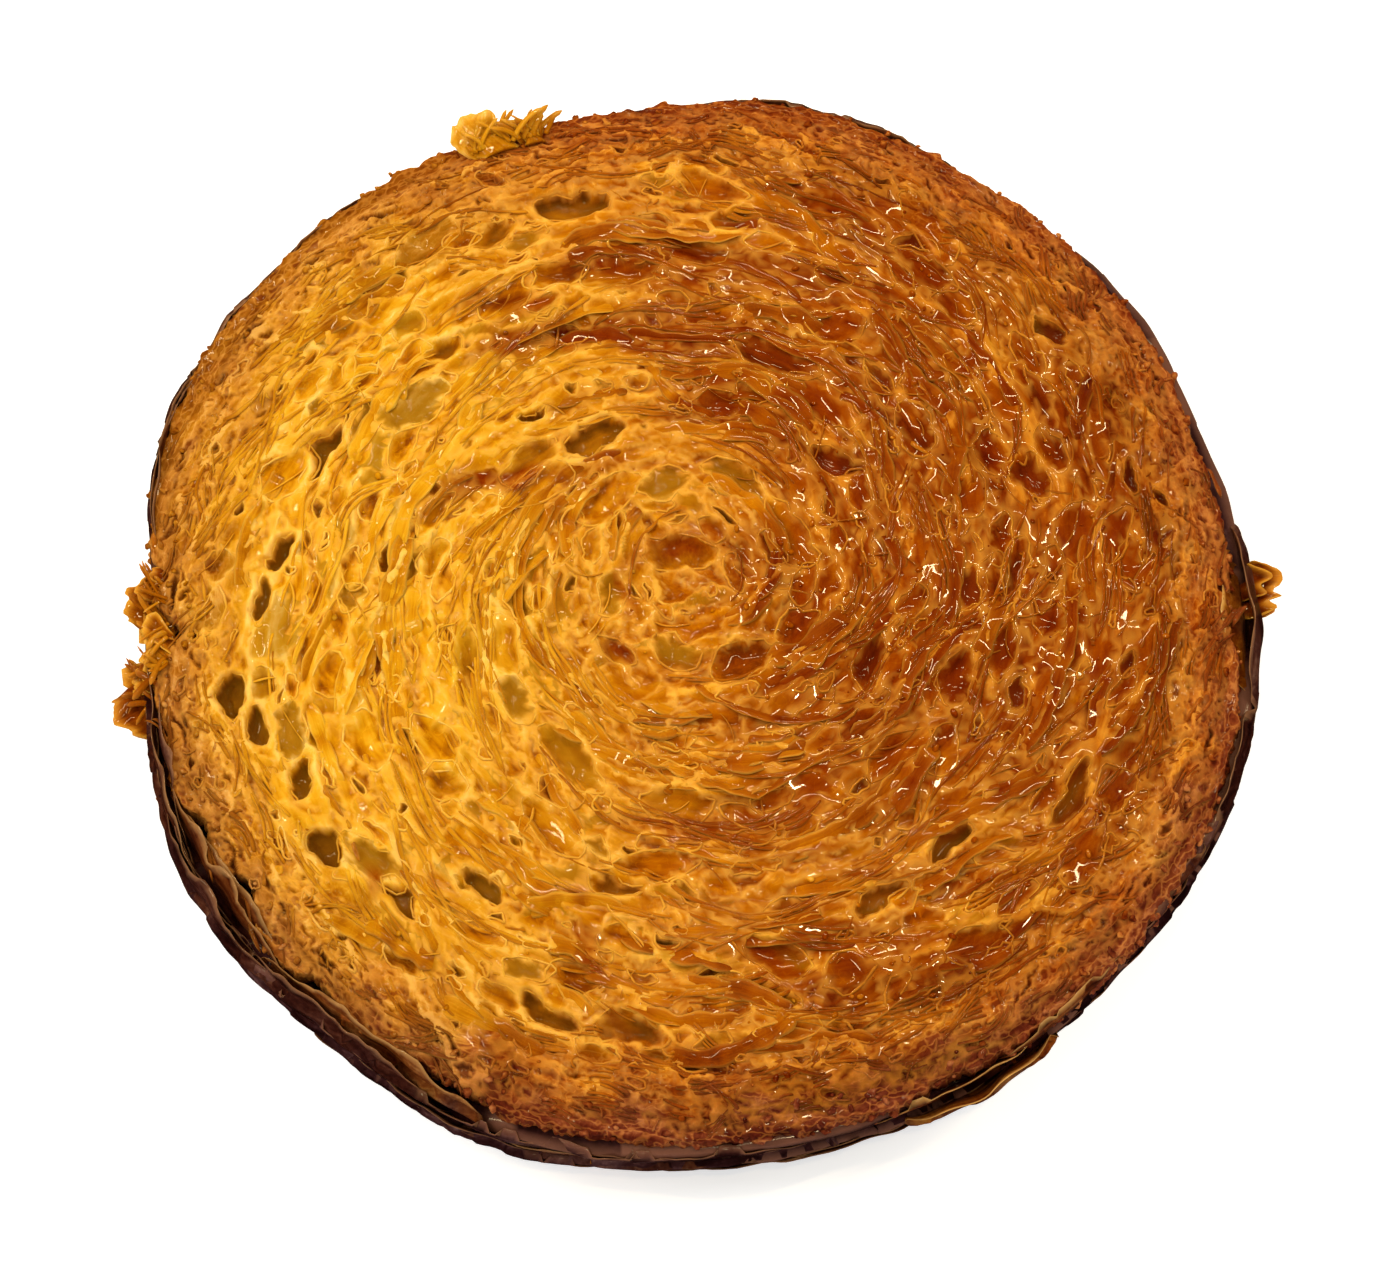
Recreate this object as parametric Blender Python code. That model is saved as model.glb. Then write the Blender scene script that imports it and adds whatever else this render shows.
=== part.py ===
"""A caramelized croissant disc: one slice across a round, rolled croissant, lying on its flat base.

The cut face looks up. Its rolled layers run round it in a spiral and hold long bubbles, which the cut
has opened into hollows. The browned outer layers wrap the edge as overlapping sheets, and a few of them
stand away as flakes. It is one piece, so it is one solid, and its relief is in the mesh.

Units are metres, +Z is up, and the origin is the middle of the base.
"""

import math
import random

import bmesh
import bpy
from mathutils import Matrix, Vector, noise

MM = 0.001

# Driving dimensions
RIM_RADIUS = 54.0 * MM  # mean radius of the cut face
THICKNESS = 13.5 * MM  # from the base to the cut face near the rim
CROWN = 0.5 * MM  # how much higher the cut face is at its middle
FOOT_INSET = 0.9 * MM  # how much smaller the base is than the cut face
EDGE_ROUNDING = 1.4 * MM  # how far the cut face drops where it meets the crust
LAYER_PITCH = 7.5 * MM  # from one turn of the rolled dough to the next
LAYER_RELIEF = 0.45 * MM
SPIRAL_CENTRE = Vector((-1.0 * MM, 0.0, 0.0))

# The mesh: squares across the cut face, and rows down the crust
SQUARES_ACROSS = 56
CRUST_ROWS = 12

# How the rim strays from a circle: (waves round it, size, angle of a high point in degrees)
RIM_LOBES = (
    (2, 0.74 * MM, 122),
    (3, 0.11 * MM, 79),
    (4, 0.66 * MM, 58),
    (6, 0.19 * MM, 27),
    (8, 0.19 * MM, 31),
    (9, 0.17 * MM, 1),
)

# How far the crust bulges beyond the rim, which also varies round the edge
CRUST_BULGE = 1.0 * MM
BULGE_FULLNESS = 2.6  # 2 is a plain arc, and more makes the side steeper and its corners tighter
BULGE_LOBES = ((1, 0.5 * MM, 300), (2, 0.4 * MM, 215), (3, 0.4 * MM, 350))

# Where the crust lies closer to the crumb: (angle, half width in degrees, how much closer)
SNUG_STRETCHES = ((320.0, 18.0, 2.1 * MM), (236.0, 12.0, 0.9 * MM), (176.0, 9.0, 0.8 * MM))
SNUG_ABOVE = 3.0 * MM  # height from which the crust is fully drawn in

# The crust is made of overlapping sheets. Each stands out at its top edge, a ledge that wanders up
# and down, and runs in under the next one below
SHEET_HEIGHT = 3.6 * MM
SHEET_LEDGE = 1.0 * MM
SHEET_LOBES = ((2, 0.9 * MM, 40), (5, 0.5 * MM, 130), (9, 0.3 * MM, 10))

# Flakes of crust that stand out: (angle, half its width round the rim in degrees, height, half its
# height, how far it stands out)
FLAKES = (
    (178.0, 2.6, 10.6 * MM, 1.6 * MM, 1.9 * MM),
    (182.5, 3.2, 9.6 * MM, 2.6 * MM, 2.6 * MM),
    (190.0, 3.2, 8.4 * MM, 2.6 * MM, 3.8 * MM),
    (1.0, 3.2, 7.8 * MM, 2.6 * MM, 3.4 * MM),
    (111.0, 3.4, 12.6 * MM, 1.8 * MM, 2.4 * MM),
    (301.0, 6.0, 8.0 * MM, 2.6 * MM, 2.6 * MM),
    (205.0, 5.0, 4.0 * MM, 2.2 * MM, 1.0 * MM),
    (262.0, 6.0, 3.6 * MM, 2.2 * MM, 1.0 * MM),
)

# The largest opened bubbles: (angle, distance from the middle, length, width, depth, turn from the
# direction of the layers in degrees)
HOLLOWS = (
    (120, 18.6 * MM, 6.6 * MM, 3.8 * MM, 3.4 * MM, -2),
    (106, 43.5 * MM, 8.4 * MM, 3.0 * MM, 3.0 * MM, -6),
    (118, 43.3 * MM, 5.2 * MM, 3.0 * MM, 2.4 * MM, 3),
    (135, 35.7 * MM, 4.4 * MM, 2.8 * MM, 2.8 * MM, -24),
    (159, 39.3 * MM, 8.2 * MM, 2.4 * MM, 4.2 * MM, -7),
    (175, 40.5 * MM, 5.0 * MM, 2.2 * MM, 4.0 * MM, -14),
    (182, 41.8 * MM, 4.4 * MM, 1.8 * MM, 3.4 * MM, -12),
    (175, 29.6 * MM, 4.0 * MM, 1.8 * MM, 2.8 * MM, -13),
    (194, 45.9 * MM, 4.6 * MM, 2.6 * MM, 4.2 * MM, -9),
    (199, 44.2 * MM, 4.4 * MM, 2.2 * MM, 3.8 * MM, -3),
    (208, 42.4 * MM, 3.8 * MM, 2.2 * MM, 3.6 * MM, -18),
    (218, 43.6 * MM, 4.4 * MM, 2.8 * MM, 3.4 * MM, 20),
    (229, 41.5 * MM, 5.4 * MM, 2.2 * MM, 3.6 * MM, -11),
    (237, 36.2 * MM, 4.6 * MM, 2.0 * MM, 3.6 * MM, -4),
    (253, 44.7 * MM, 6.6 * MM, 2.2 * MM, 3.4 * MM, -14),
    (263, 44.6 * MM, 7.4 * MM, 2.4 * MM, 3.0 * MM, -1),
    (257, 30.8 * MM, 6.4 * MM, 2.8 * MM, 2.4 * MM, 8),
    (313, 36.0 * MM, 5.0 * MM, 2.2 * MM, 4.0 * MM, -1),
    (330, 42.3 * MM, 8.0 * MM, 2.2 * MM, 3.4 * MM, 3),
    (299, 36.4 * MM, 6.0 * MM, 2.0 * MM, 3.2 * MM, 1),
    (335, 19.1 * MM, 6.0 * MM, 3.0 * MM, 3.2 * MM, 12),
    (19, 35.5 * MM, 5.4 * MM, 3.6 * MM, 3.0 * MM, 16),
    (43, 19.8 * MM, 6.6 * MM, 2.6 * MM, 3.2 * MM, 12),
    (105, 3.4 * MM, 7.8 * MM, 3.6 * MM, 2.8 * MM, -14),
    (58, 43.7 * MM, 5.4 * MM, 2.4 * MM, 3.0 * MM, 8),
    (339, 27.6 * MM, 6.4 * MM, 3.0 * MM, 2.8 * MM, 7),
    (348, 31.0 * MM, 6.6 * MM, 3.2 * MM, 2.6 * MM, 8),
    (81, 19.6 * MM, 6.4 * MM, 2.8 * MM, 2.2 * MM, 10),
    (84, 40.1 * MM, 6.4 * MM, 2.4 * MM, 1.8 * MM, 8),
    (221, 30.9 * MM, 4.6 * MM, 3.0 * MM, 2.2 * MM, -3),
)

# Smaller hollows, spread by a seeded rule
SMALL_HOLLOWS = 90
SMALL_HOLLOW_SEED = 7
SMALL_LENGTH = (3.0 * MM, 5.5 * MM)
SMALL_WIDTH = (1.8 * MM, 2.8 * MM)
SMALL_DEPTH = (0.8 * MM, 1.8 * MM)
GOLDEN_ANGLE = math.radians(137.508)

# Fine unevenness of the crumb and of the crust
CRUMB_GRAIN = 4.2 * MM
CRUMB_ROUGHNESS = 0.35 * MM
CRUST_GRAIN = 5.0 * MM
CRUST_ROUGHNESS = 0.30 * MM

CRUMB_COLOUR = (0.58, 0.27, 0.045, 1.0)
CRUST_COLOUR = (0.16, 0.045, 0.018, 1.0)


def lobes(table, angle):
    """The sum of a table's waves at an angle round the rim."""
    return sum(size * math.cos(waves * (angle - math.radians(high))) for waves, size, high in table)


def smooth_step(low, high, value):
    share = min(max((value - low) / (high - low), 0.0), 1.0)
    return share * share * (3.0 - 2.0 * share)


def rim_radius(angle):
    return RIM_RADIUS + lobes(RIM_LOBES, angle)


def angle_between(a, b):
    """The signed angle from b to a, between -pi and pi."""
    return math.remainder(a - b, math.tau)


def small_hollows():
    """Hollows on a sunflower spiral, each a little off its place, from the middle out to the crust."""
    draw = random.Random(SMALL_HOLLOW_SEED)
    rows = []
    for count in range(SMALL_HOLLOWS):
        distance = 0.90 * RIM_RADIUS * math.sqrt((count + 0.5) / SMALL_HOLLOWS)
        angle = count * GOLDEN_ANGLE + draw.uniform(-0.03, 0.03)
        size = [draw.uniform(*limits) for limits in (SMALL_LENGTH, SMALL_WIDTH, SMALL_DEPTH)]
        rows.append((math.degrees(angle), distance, *size, draw.uniform(-16.0, 4.0)))
    return rows


ALL_HOLLOWS = [*HOLLOWS, *small_hollows()]


def hollow_depth(point):
    """How deep the opened bubbles are at a point of the cut face."""
    deepest = 0.0
    for angle_deg, distance, length, width, depth, turn in ALL_HOLLOWS:
        angle = math.radians(angle_deg)
        along = angle + math.pi / 2 + math.radians(turn)
        away = point - Vector((distance * math.cos(angle), distance * math.sin(angle), 0.0))
        if away.length > length:
            continue
        lengthwise = (away.x * math.cos(along) + away.y * math.sin(along)) / (length / 2)
        crosswise = (away.y * math.cos(along) - away.x * math.sin(along)) / (width / 2)
        inside = 1.0 - lengthwise**2 - crosswise**2
        deepest = max(deepest, depth * smooth_step(-0.35, 0.75, inside))
    return deepest


def layer_ridge(point):
    """The rolled layers, as ridges on a spiral. They fade at the middle, where the roll starts."""
    away = point - SPIRAL_CENTRE
    turns = away.length / LAYER_PITCH - math.atan2(away.y, away.x) / math.tau
    fade = smooth_step(0.0, 2 * LAYER_PITCH, away.length)
    return LAYER_RELIEF * fade * math.cos(math.tau * turns)


def face_height(point, share):
    """The cut face's height. share is 0 at the middle and 1 at the rim."""
    crumb = CRUMB_ROUGHNESS * noise.noise(point / CRUMB_GRAIN)
    rounding = EDGE_ROUNDING * smooth_step(0.93, 1.0, share)
    inner = 1.0 - smooth_step(0.90, 0.97, share)
    relief = layer_ridge(point) - hollow_depth(point)
    return THICKNESS + CROWN * (1.0 - share**2) + crumb - rounding + inner * relief


def flake_reach(angle, height):
    """How far the nearest flake stands out of the crust here: sharp at its top edge, long below."""
    reach = 0.0
    for angle_deg, half_width, middle, half_height, stands_out in FLAKES:
        sideways = math.degrees(angle_between(angle, math.radians(angle_deg))) / half_width
        upright = (height - middle) / half_height
        if upright < 0.0:
            upright *= 0.6
        inside = max(0.0, 1.0 - sideways**2 - upright**2)
        reach = max(reach, stands_out * math.sqrt(inside))
    return reach


def snug(angle):
    """How much closer the crust lies at an angle."""
    return sum(
        closer * math.exp(-((math.degrees(angle_between(angle, math.radians(place))) / half_width) ** 2))
        for place, half_width, closer in SNUG_STRETCHES
    )


def crust_radius(angle, down):
    """The crust's radius. down is 0 at the rim and 1 at the base."""
    height = THICKNESS * (1.0 - down)
    fullness = 1.0 - abs(2.0 * down - 1.0) ** BULGE_FULLNESS
    bulge = (CRUST_BULGE + lobes(BULGE_LOBES, angle)) * fullness
    sheet = (height + lobes(SHEET_LOBES, angle)) / SHEET_HEIGHT
    ledge = SHEET_LEDGE * (sheet % 1.0) * fullness
    foot = FOOT_INSET * smooth_step(0.5, 1.0, down)
    drawn_in = snug(angle) * smooth_step(0.0, SNUG_ABOVE, height)
    grain = Vector((math.cos(angle), math.sin(angle), 0.0)) * (RIM_RADIUS / CRUST_GRAIN)
    grain.z = height / CRUST_GRAIN
    rough = CRUST_ROUGHNESS * noise.noise(grain) * (1.0 - down)
    return rim_radius(angle) + bulge + ledge - foot - drawn_in + rough + flake_reach(angle, height)


def square_to_disc(x, y):
    """A point of the square from -1 to 1, moved to the unit disc with little stretch, as (share, angle)."""
    if x == 0.0 and y == 0.0:
        return 0.0, 0.0
    if abs(x) >= abs(y):
        turn = math.pi / 4 * y / x
        return abs(x), turn if x > 0.0 else turn + math.pi
    turn = math.pi / 2 - math.pi / 4 * x / y
    return abs(y), turn if y > 0.0 else turn + math.pi


def shape_cut_face(mesh):
    """A square grid, bent to the disc's outline and raised to the cut face's height."""
    bmesh.ops.create_grid(mesh, x_segments=SQUARES_ACROSS, y_segments=SQUARES_ACROSS, size=1.0)
    for corner in mesh.verts:
        share, angle = square_to_disc(corner.co.x, corner.co.y)
        flat = share * rim_radius(angle) * Vector((math.cos(angle), math.sin(angle), 0.0))
        corner.co = flat + Vector((0.0, 0.0, face_height(flat, share)))


def wrap_crust(mesh):
    """The rim's edge drawn down row by row to the base, which is then closed with one flat face."""
    ring = [edge for edge in mesh.edges if edge.is_boundary]
    for row in range(1, CRUST_ROWS + 1):
        down = row / CRUST_ROWS
        drawn = bmesh.ops.extrude_edge_only(mesh, edges=ring)["geom"]
        for corner in (piece for piece in drawn if isinstance(piece, bmesh.types.BMVert)):
            angle = math.atan2(corner.co.y, corner.co.x)
            top = THICKNESS - EDGE_ROUNDING
            corner.co = crust_radius(angle, down) * Vector((math.cos(angle), math.sin(angle), 0.0))
            corner.co.z = top * (1.0 - down)
        ring = [piece for piece in drawn if isinstance(piece, bmesh.types.BMEdge) and piece.is_boundary]
    for face in mesh.faces:
        face.smooth = True
        face.material_index = int(face.normal.z < 0.4)
    bmesh.ops.edgeloop_fill(mesh, edges=ring, mat_nr=1)


def surface(name, colour, roughness):
    material = bpy.data.materials.new(name)
    material.use_nodes = True
    shader = material.node_tree.nodes["Principled BSDF"]
    shader.inputs["Base Color"].default_value = colour
    shader.inputs["Roughness"].default_value = roughness
    shader.inputs["Metallic"].default_value = 0.0
    return material


def build():
    for old in list(bpy.data.objects):
        bpy.data.objects.remove(old)
    collection = bpy.data.collections.new("caramelized_croissant_disc")
    bpy.context.scene.collection.children.link(collection)

    mesh = bmesh.new()
    shape_cut_face(mesh)
    wrap_crust(mesh)
    bmesh.ops.recalc_face_normals(mesh, faces=mesh.faces)
    data = bpy.data.meshes.new("croissant_disc")
    mesh.to_mesh(data)
    mesh.free()
    data.materials.append(surface("caramelized_crumb", CRUMB_COLOUR, 0.35))
    data.materials.append(surface("browned_crust", CRUST_COLOUR, 0.45))

    disc = bpy.data.objects.new("croissant_disc", data)
    disc.matrix_world = Matrix.Identity(4)
    collection.objects.link(disc)


build()
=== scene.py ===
"""The caramelized croissant disc, dressed.

The cut face of the solid becomes open crumb: bubbles that rose between the rolled layers and were cut
through, torn strands of dough over them, and caramel over both, with beads of it that catch the light. The
side becomes sheets of browned crust with dark gaps between them, and flakes that stand out of it.

Lengths are millimetres until knit() turns them to metres. x and y are those of the solid, and its base
lies at z = 0.
"""

import math
from functools import partial

import bmesh
import bpy
import numpy as np
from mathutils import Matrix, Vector


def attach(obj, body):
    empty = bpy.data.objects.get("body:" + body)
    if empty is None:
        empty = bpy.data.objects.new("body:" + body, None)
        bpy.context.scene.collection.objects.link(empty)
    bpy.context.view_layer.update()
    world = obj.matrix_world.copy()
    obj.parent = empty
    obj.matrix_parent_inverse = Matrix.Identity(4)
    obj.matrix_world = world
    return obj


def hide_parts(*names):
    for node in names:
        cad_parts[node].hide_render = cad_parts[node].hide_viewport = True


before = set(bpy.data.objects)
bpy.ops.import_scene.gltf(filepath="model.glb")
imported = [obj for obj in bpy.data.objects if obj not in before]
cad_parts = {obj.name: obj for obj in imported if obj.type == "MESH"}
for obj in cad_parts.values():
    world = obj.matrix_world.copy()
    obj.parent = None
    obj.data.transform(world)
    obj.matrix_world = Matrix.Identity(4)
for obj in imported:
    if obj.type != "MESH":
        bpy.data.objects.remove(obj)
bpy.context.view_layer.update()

MM = 0.001

# The disc, as in its solid
RIM_RADIUS = 54.0
THICKNESS = 13.5
CROWN = 0.5
FOOT_INSET = 0.9
EDGE_ROUNDING = 1.4
LAYER_PITCH = 7.5
LAYER_RELIEF = 0.45
SPIRAL_X = -1.0
RIM_LOBES = ((2, 0.74, 122), (3, 0.11, 79), (4, 0.66, 58), (6, 0.19, 27), (8, 0.19, 31), (9, 0.17, 1))
CRUST_BULGE = 1.0
BULGE_FULLNESS = 2.6
BULGE_LOBES = ((1, 0.5, 300), (2, 0.4, 215), (3, 0.4, 350))
SHEET_HEIGHT = 3.6
SHEET_LEDGE = 1.0
SHEET_LOBES = ((2, 0.9, 40), (5, 0.5, 130), (9, 0.3, 10))

# The largest opened bubbles: (angle, distance from the middle, length, width, depth, turn, how far open)
HOLLOWS = (
    (120, 18.6, 6.6, 3.8, 1.8, -2, 0.6),
    (106, 43.5, 8.4, 3.0, 1.5, -6, 0.6),
    (118, 43.3, 5.2, 3.0, 1.3, 3, 0.5),
    (135, 35.7, 4.4, 2.8, 1.6, -24, 0.5),
    (159, 39.3, 8.2, 2.4, 2.2, -7, 1.0),
    (175, 40.5, 5.0, 2.2, 2.0, -14, 1.0),
    (182, 41.8, 4.4, 1.8, 1.8, -12, 1.0),
    (175, 29.6, 4.0, 1.8, 1.4, -13, 0.6),
    (194, 45.9, 4.6, 2.6, 2.2, -9, 1.0),
    (199, 44.2, 4.4, 2.2, 2.0, -3, 1.0),
    (208, 42.4, 3.8, 2.2, 2.0, -18, 1.0),
    (218, 43.6, 4.4, 2.8, 1.8, 20, 0.9),
    (229, 41.5, 5.4, 2.2, 1.8, -11, 0.8),
    (237, 36.2, 4.6, 2.0, 2.0, -4, 1.0),
    (253, 44.7, 6.6, 2.2, 1.6, -14, 0.6),
    (263, 44.6, 7.4, 2.4, 1.5, -1, 0.5),
    (257, 30.8, 6.4, 2.8, 1.2, 8, 0.5),
    (313, 36.0, 5.0, 2.2, 2.0, -1, 1.0),
    (330, 42.3, 8.0, 2.2, 1.8, 3, 0.7),
    (299, 36.4, 6.0, 2.0, 1.6, 1, 0.7),
    (335, 19.1, 6.0, 3.0, 1.8, 12, 0.4),
    (19, 35.5, 5.4, 3.6, 1.6, 16, 0.5),
    (43, 19.8, 6.6, 2.6, 1.8, 12, 0.6),
    (105, 3.4, 7.8, 3.6, 1.3, -14, 0.3),
    (58, 43.7, 5.4, 2.4, 1.6, 8, 0.6),
    (339, 27.6, 6.4, 3.0, 1.5, 7, 0.4),
    (348, 31.0, 6.6, 3.2, 1.4, 8, 0.3),
    (81, 19.6, 6.4, 2.8, 1.2, 10, 0.3),
    (84, 40.1, 6.4, 2.4, 1.2, 8, 0.3),
    (221, 30.9, 4.6, 3.0, 1.2, -3, 0.3),
)

# Smaller bubbles, from large to small: (how many, half width, length over width, depth, from and to
# which share of the rim, room to the ones before, tilt of the floor, share that is open, its depth)
BUBBLES = (
    (100, (1.0, 2.0), (1.4, 2.6), (0.3, 0.9), (0.0, 0.86), 0.40, 0.25, 0.0, (1.2, 1.8)),
    (170, (0.5, 1.0), (1.5, 3.0), (0.3, 0.8), (0.0, 0.91), 0.40, 0.30, 0.06, (1.0, 1.5)),
    (190, (0.28, 0.5), (1.3, 2.8), (0.25, 0.6), (0.0, 0.96), 0.40, 0.20, 0.35, (0.6, 1.1)),
    (60, (0.20, 0.36), (5.0, 11.0), (0.6, 1.0), (0.92, 0.985), 0.20, 0.10, 1.0, (0.9, 1.5)),
    (850, (0.16, 0.34), (1.6, 4.5), (0.3, 0.9), (0.85, 0.985), 0.20, 0.20, 0.36, (0.7, 1.3)),
    (260, (0.2, 0.32), (1.0, 2.0), (0.25, 0.6), (0.0, 0.985), 0.40, 0.20, 0.40, (0.5, 0.9)),
)

# Torn leaves of dough that lie over each other, from large to small: (how many, half width, length over
# width, how high the raised edge stands, how far they sag, out to which share of the rim)
LEAVES = (
    (480, (1.4, 3.0), (2.0, 5.0), 0.40, 0.40, 0.86),
    (420, (0.7, 1.4), (2.2, 6.0), 0.34, 0.24, 0.90),
    (380, (0.3, 0.6), (2.5, 7.0), 0.20, 0.10, 0.95),
)

# Where caramel lies thickest: (angle, distance from the middle, half length, half width, turn out of the
# ring in degrees, amount)
ARCS = (
    (2, 24.0, 10.0, 6.0, 0, 1.0),
    (350, 19.0, 9.0, 3.6, -8, 0.95),
    (18, 35.0, 9.0, 3.6, 6, 1.0),
    (28, 27.0, 8.0, 3.0, 0, 0.9),
    (48, 22.0, 6.5, 2.8, 10, 1.1),
    (70, 19.0, 9.0, 2.8, 12, 1.0),
    (95, 27.5, 10.0, 2.2, 6, 1.15),
    (86, 34.0, 8.0, 2.2, 0, 0.95),
    (116, 30.0, 9.0, 2.0, 12, 1.0),
    (150, 22.0, 10.0, 1.6, 48, 0.95),
    (136, 17.0, 6.0, 1.2, 20, 0.6),
    (62, 34.0, 6.0, 2.4, 10, 0.95),
    (66, 45.0, 9.0, 2.4, 0, 0.8),
    (104, 37.0, 8.0, 1.8, 0, 0.85),
    (122, 36.0, 6.0, 1.8, 20, 0.65),
    (158, 28.0, 4.5, 1.5, 30, 0.6),
    (15, 45.0, 9.0, 3.0, 0, 0.9),
    (352, 31.0, 8.0, 4.0, 0, 0.9),
    (355, 42.0, 8.0, 3.0, 0, 0.9),
    (338, 24.0, 9.0, 2.2, -10, 0.9),
    (335, 13.0, 7.0, 2.0, -10, 0.6),
    (298, 43.0, 11.0, 2.4, 35, 0.95),
    (283, 40.0, 5.0, 1.6, 40, 0.65),
    (256, 38.0, 7.0, 1.6, 60, 0.75),
    (226, 44.0, 6.0, 1.6, 60, 0.8),
    (250, 49.5, 5.0, 3.0, 0, 1.0),
    (284, 51.0, 14.0, 2.4, 0, 0.95),
    (330, 47.0, 8.0, 2.0, 0, 0.65),
    (300, 24.0, 6.0, 1.8, 0, 0.55),
    (275, 25.0, 9.0, 1.2, 0, 0.6),
    (195, 7.0, 5.0, 1.1, 0, 0.65),
    (222, 10.0, 3.5, 1.2, 0, 0.7),
    (105, 5.0, 5.0, 1.8, 0, 0.65),
    (192, 13.5, 4.5, 1.1, 0, 0.55),
    (10, 6.0, 4.0, 1.4, 0, 0.55),
)

# Dough pulled into strands over the face: (name, how many, half width, half thickness, length, turn off the
# run of the layers in degrees, how far it strays from that, how much it curls, how high it lies, how deep it
# is dished, from and to which share of the rim, steps, sides, how pale, how many lie side by side, spacing)
STRANDS = (
    ("broad_strands", 160, (0.45, 1.1), (0.10, 0.18), (7.0, 20.0), 0, 0.12, 0.35,
     (-0.16, 0.04), (0.0, 0.30), (0.08, 0.88), 26, 8, 0.0, 1, 0.0),
    ("bundles", 470, (0.10, 0.26), (0.09, 0.17), (6.0, 20.0), 0, 0.14, 0.35,
     (-0.06, 0.10), (0.0, 0.0), (0.05, 0.90), 22, 6, 0.03, 4, 0.45),
    ("rim_strands", 620, (0.10, 0.24), (0.09, 0.16), (2.0, 8.0), 0, 0.22, 0.6,
     (-0.06, 0.12), (0.0, 0.0), (0.84, 0.985), 14, 5, 0.04, 3, 0.42),
    ("threads", 200, (0.06, 0.12), (0.05, 0.10), (2.0, 8.0), 0, 0.50, 0.9,
     (-0.04, 0.12), (0.0, 0.0), (0.0, 0.94), 14, 5, 0.12, 1, 0.0),
    ("curls", 280, (0.09, 0.18), (0.09, 0.15), (1.2, 3.6), 0, 1.0, 2.4,
     (-0.04, 0.08), (0.0, 0.0), (0.76, 0.975), 12, 5, 0.10, 1, 0.0),
    ("bars", 180, (0.09, 0.17), (0.08, 0.14), (0.7, 1.7), 90, 0.25, 0.5,
     (-0.04, 0.06), (0.0, 0.0), (0.72, 0.96), 6, 5, 0.10, 4, 0.55),
)
WALLED_BUBBLES = 480  # how many of the largest bubbles have a thin wall standing round them
WALL_STEPS = 20
RIM_CRUMBS = 420
CARAMEL_BEADS = 420
TOP_LIMIT = 14.9  # no strand, bead or flake stands higher

# The tucked-in edge of the crumb, behind which the crust begins: (how far in, how far down)
TUCK = ((-0.10, 0.3), (-0.22, 0.8), (-0.36, 1.4), (-0.45, 2.0), (-0.40, 2.7), (0.2, 3.2), (3.0, 3.3))
UNDERSIDE_BAKE = 0.45  # how brown the base is at the least
CRUMB_UNDERSIDE = 8.2  # height of the hidden underside of the crumb, inside the crust
CRUST_TOP = 10.6  # height at which the crust passes behind the crumb

# Where the crust lies closer to the crumb than in the solid: (angle, half width in degrees, how much)
SNUG = ((320, 18, 2.1), (236, 12, 0.9), (176, 9, 0.8))

# Pockets between the crumb and the outer sheets: (angle, half width in degrees, how far in, how deep)
POCKETS = (
    (215.5, 4.2, 3.0, 4.0),
    (207.2, 3.0, 1.9, 3.5),
    (228.5, 4.5, 0.9, 2.0),
    (196.5, 2.2, 0.8, 3.0),
    (243.0, 9.0, 1.1, 3.0),
    (185.0, 4.0, 2.8, 3.5),
    (178.5, 1.8, 1.6, 3.0),
    (357.5, 5.0, 1.2, 3.0),
    (297.0, 5.0, 0.7, 2.0),
)

# Sheets of crust that stand off the side where the photograph shows them: (from and to angle, heights of
# the low and the high edge, how far each stands off, how golden)
SHEETS = (
    (150, 181, 3.0, 12.8, 0.1, 0.4, 0.1),
    (153, 176, 6.0, 13.0, 0.2, 0.9, 0.1),
    (194, 214, 2.0, 12.8, 0.1, 0.7, 0.2),
    (202, 225, 3.0, 12.9, 0.4, 1.3, 0.1),
    (189, 208, 6.0, 13.0, -0.9, -0.4, 0.1),
    (200, 226, 6.0, 13.3, -1.2, -0.6, 0.35),
    (204, 224, 7.0, 12.8, 0.0, -2.0, 0.4),
    (221, 250, 5.0, 12.8, -0.8, -0.2, 0.4),
    (212, 244, 0.6, 10.6, 0.1, 0.6, 0.0),
    (219, 246, 4.0, 12.2, 0.2, 0.7, 0.1),
    (228, 262, 0.8, 8.0, 0.1, 0.8, 0.0),
    (240, 285, 2.0, 10.6, 0.0, 0.3, 0.0),
    (262, 300, 0.6, 6.8, 0.1, 0.6, 0.0),
    (291, 309, 3.6, 10.8, 0.6, 2.3, 0.9),
    (288, 313, 5.0, 11.6, -0.3, 0.6, 0.6),
    (349, 366, 6.0, 12.4, 0.3, -1.9, 0.8),
    (302, 319, 7.0, 12.9, 0.2, 0.9, 0.5),
    (306, 336, 1.0, 8.6, 0.1, 0.6, 0.0),
    (328, 352, 2.0, 12.0, 0.1, 0.5, 0.1),
    (346, 369, 3.0, 12.6, 0.2, 1.0, 0.1),
)
MORE_SHEETS = 30
SHEET_THICKNESS = 0.24
SHEET_STEP = 0.55  # spacing of the corners along each
SHEET_ROWS = 15
SHEET_TOP = 13.6
LOWEST = 0.3  # how near the floor sheets and flakes come

# Flakes that stand out of the crust: (angle, half width in degrees, height, half height, how far, how pale)
FLAKES = (
    (178.5, 1.6, 10.6, 1.2, 1.2, 0.10),
    (182.5, 3.2, 10.6, 2.0, 2.4, 0.35),
    (186.5, 3.0, 11.4, 1.4, 1.2, 0.45),
    (190.0, 3.2, 9.6, 2.4, 3.6, 0.15),
    (1.0, 3.2, 8.6, 2.2, 3.4, 0.05),
    (112.5, 3.0, 12.8, 1.0, 2.6, 0.75),
    (108.0, 1.4, 12.6, 0.8, 1.6, 0.50),
    (205.0, 5.0, 4.0, 2.2, 0.8, 0.0),
    (262.0, 6.0, 3.6, 2.2, 0.8, 0.0),
)
FLAKE_LEAVES = 4
FLAKE_THREADS = 22
FLAKE_ROOT = 2.2  # how far behind the crust's surface each leaf begins
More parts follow.
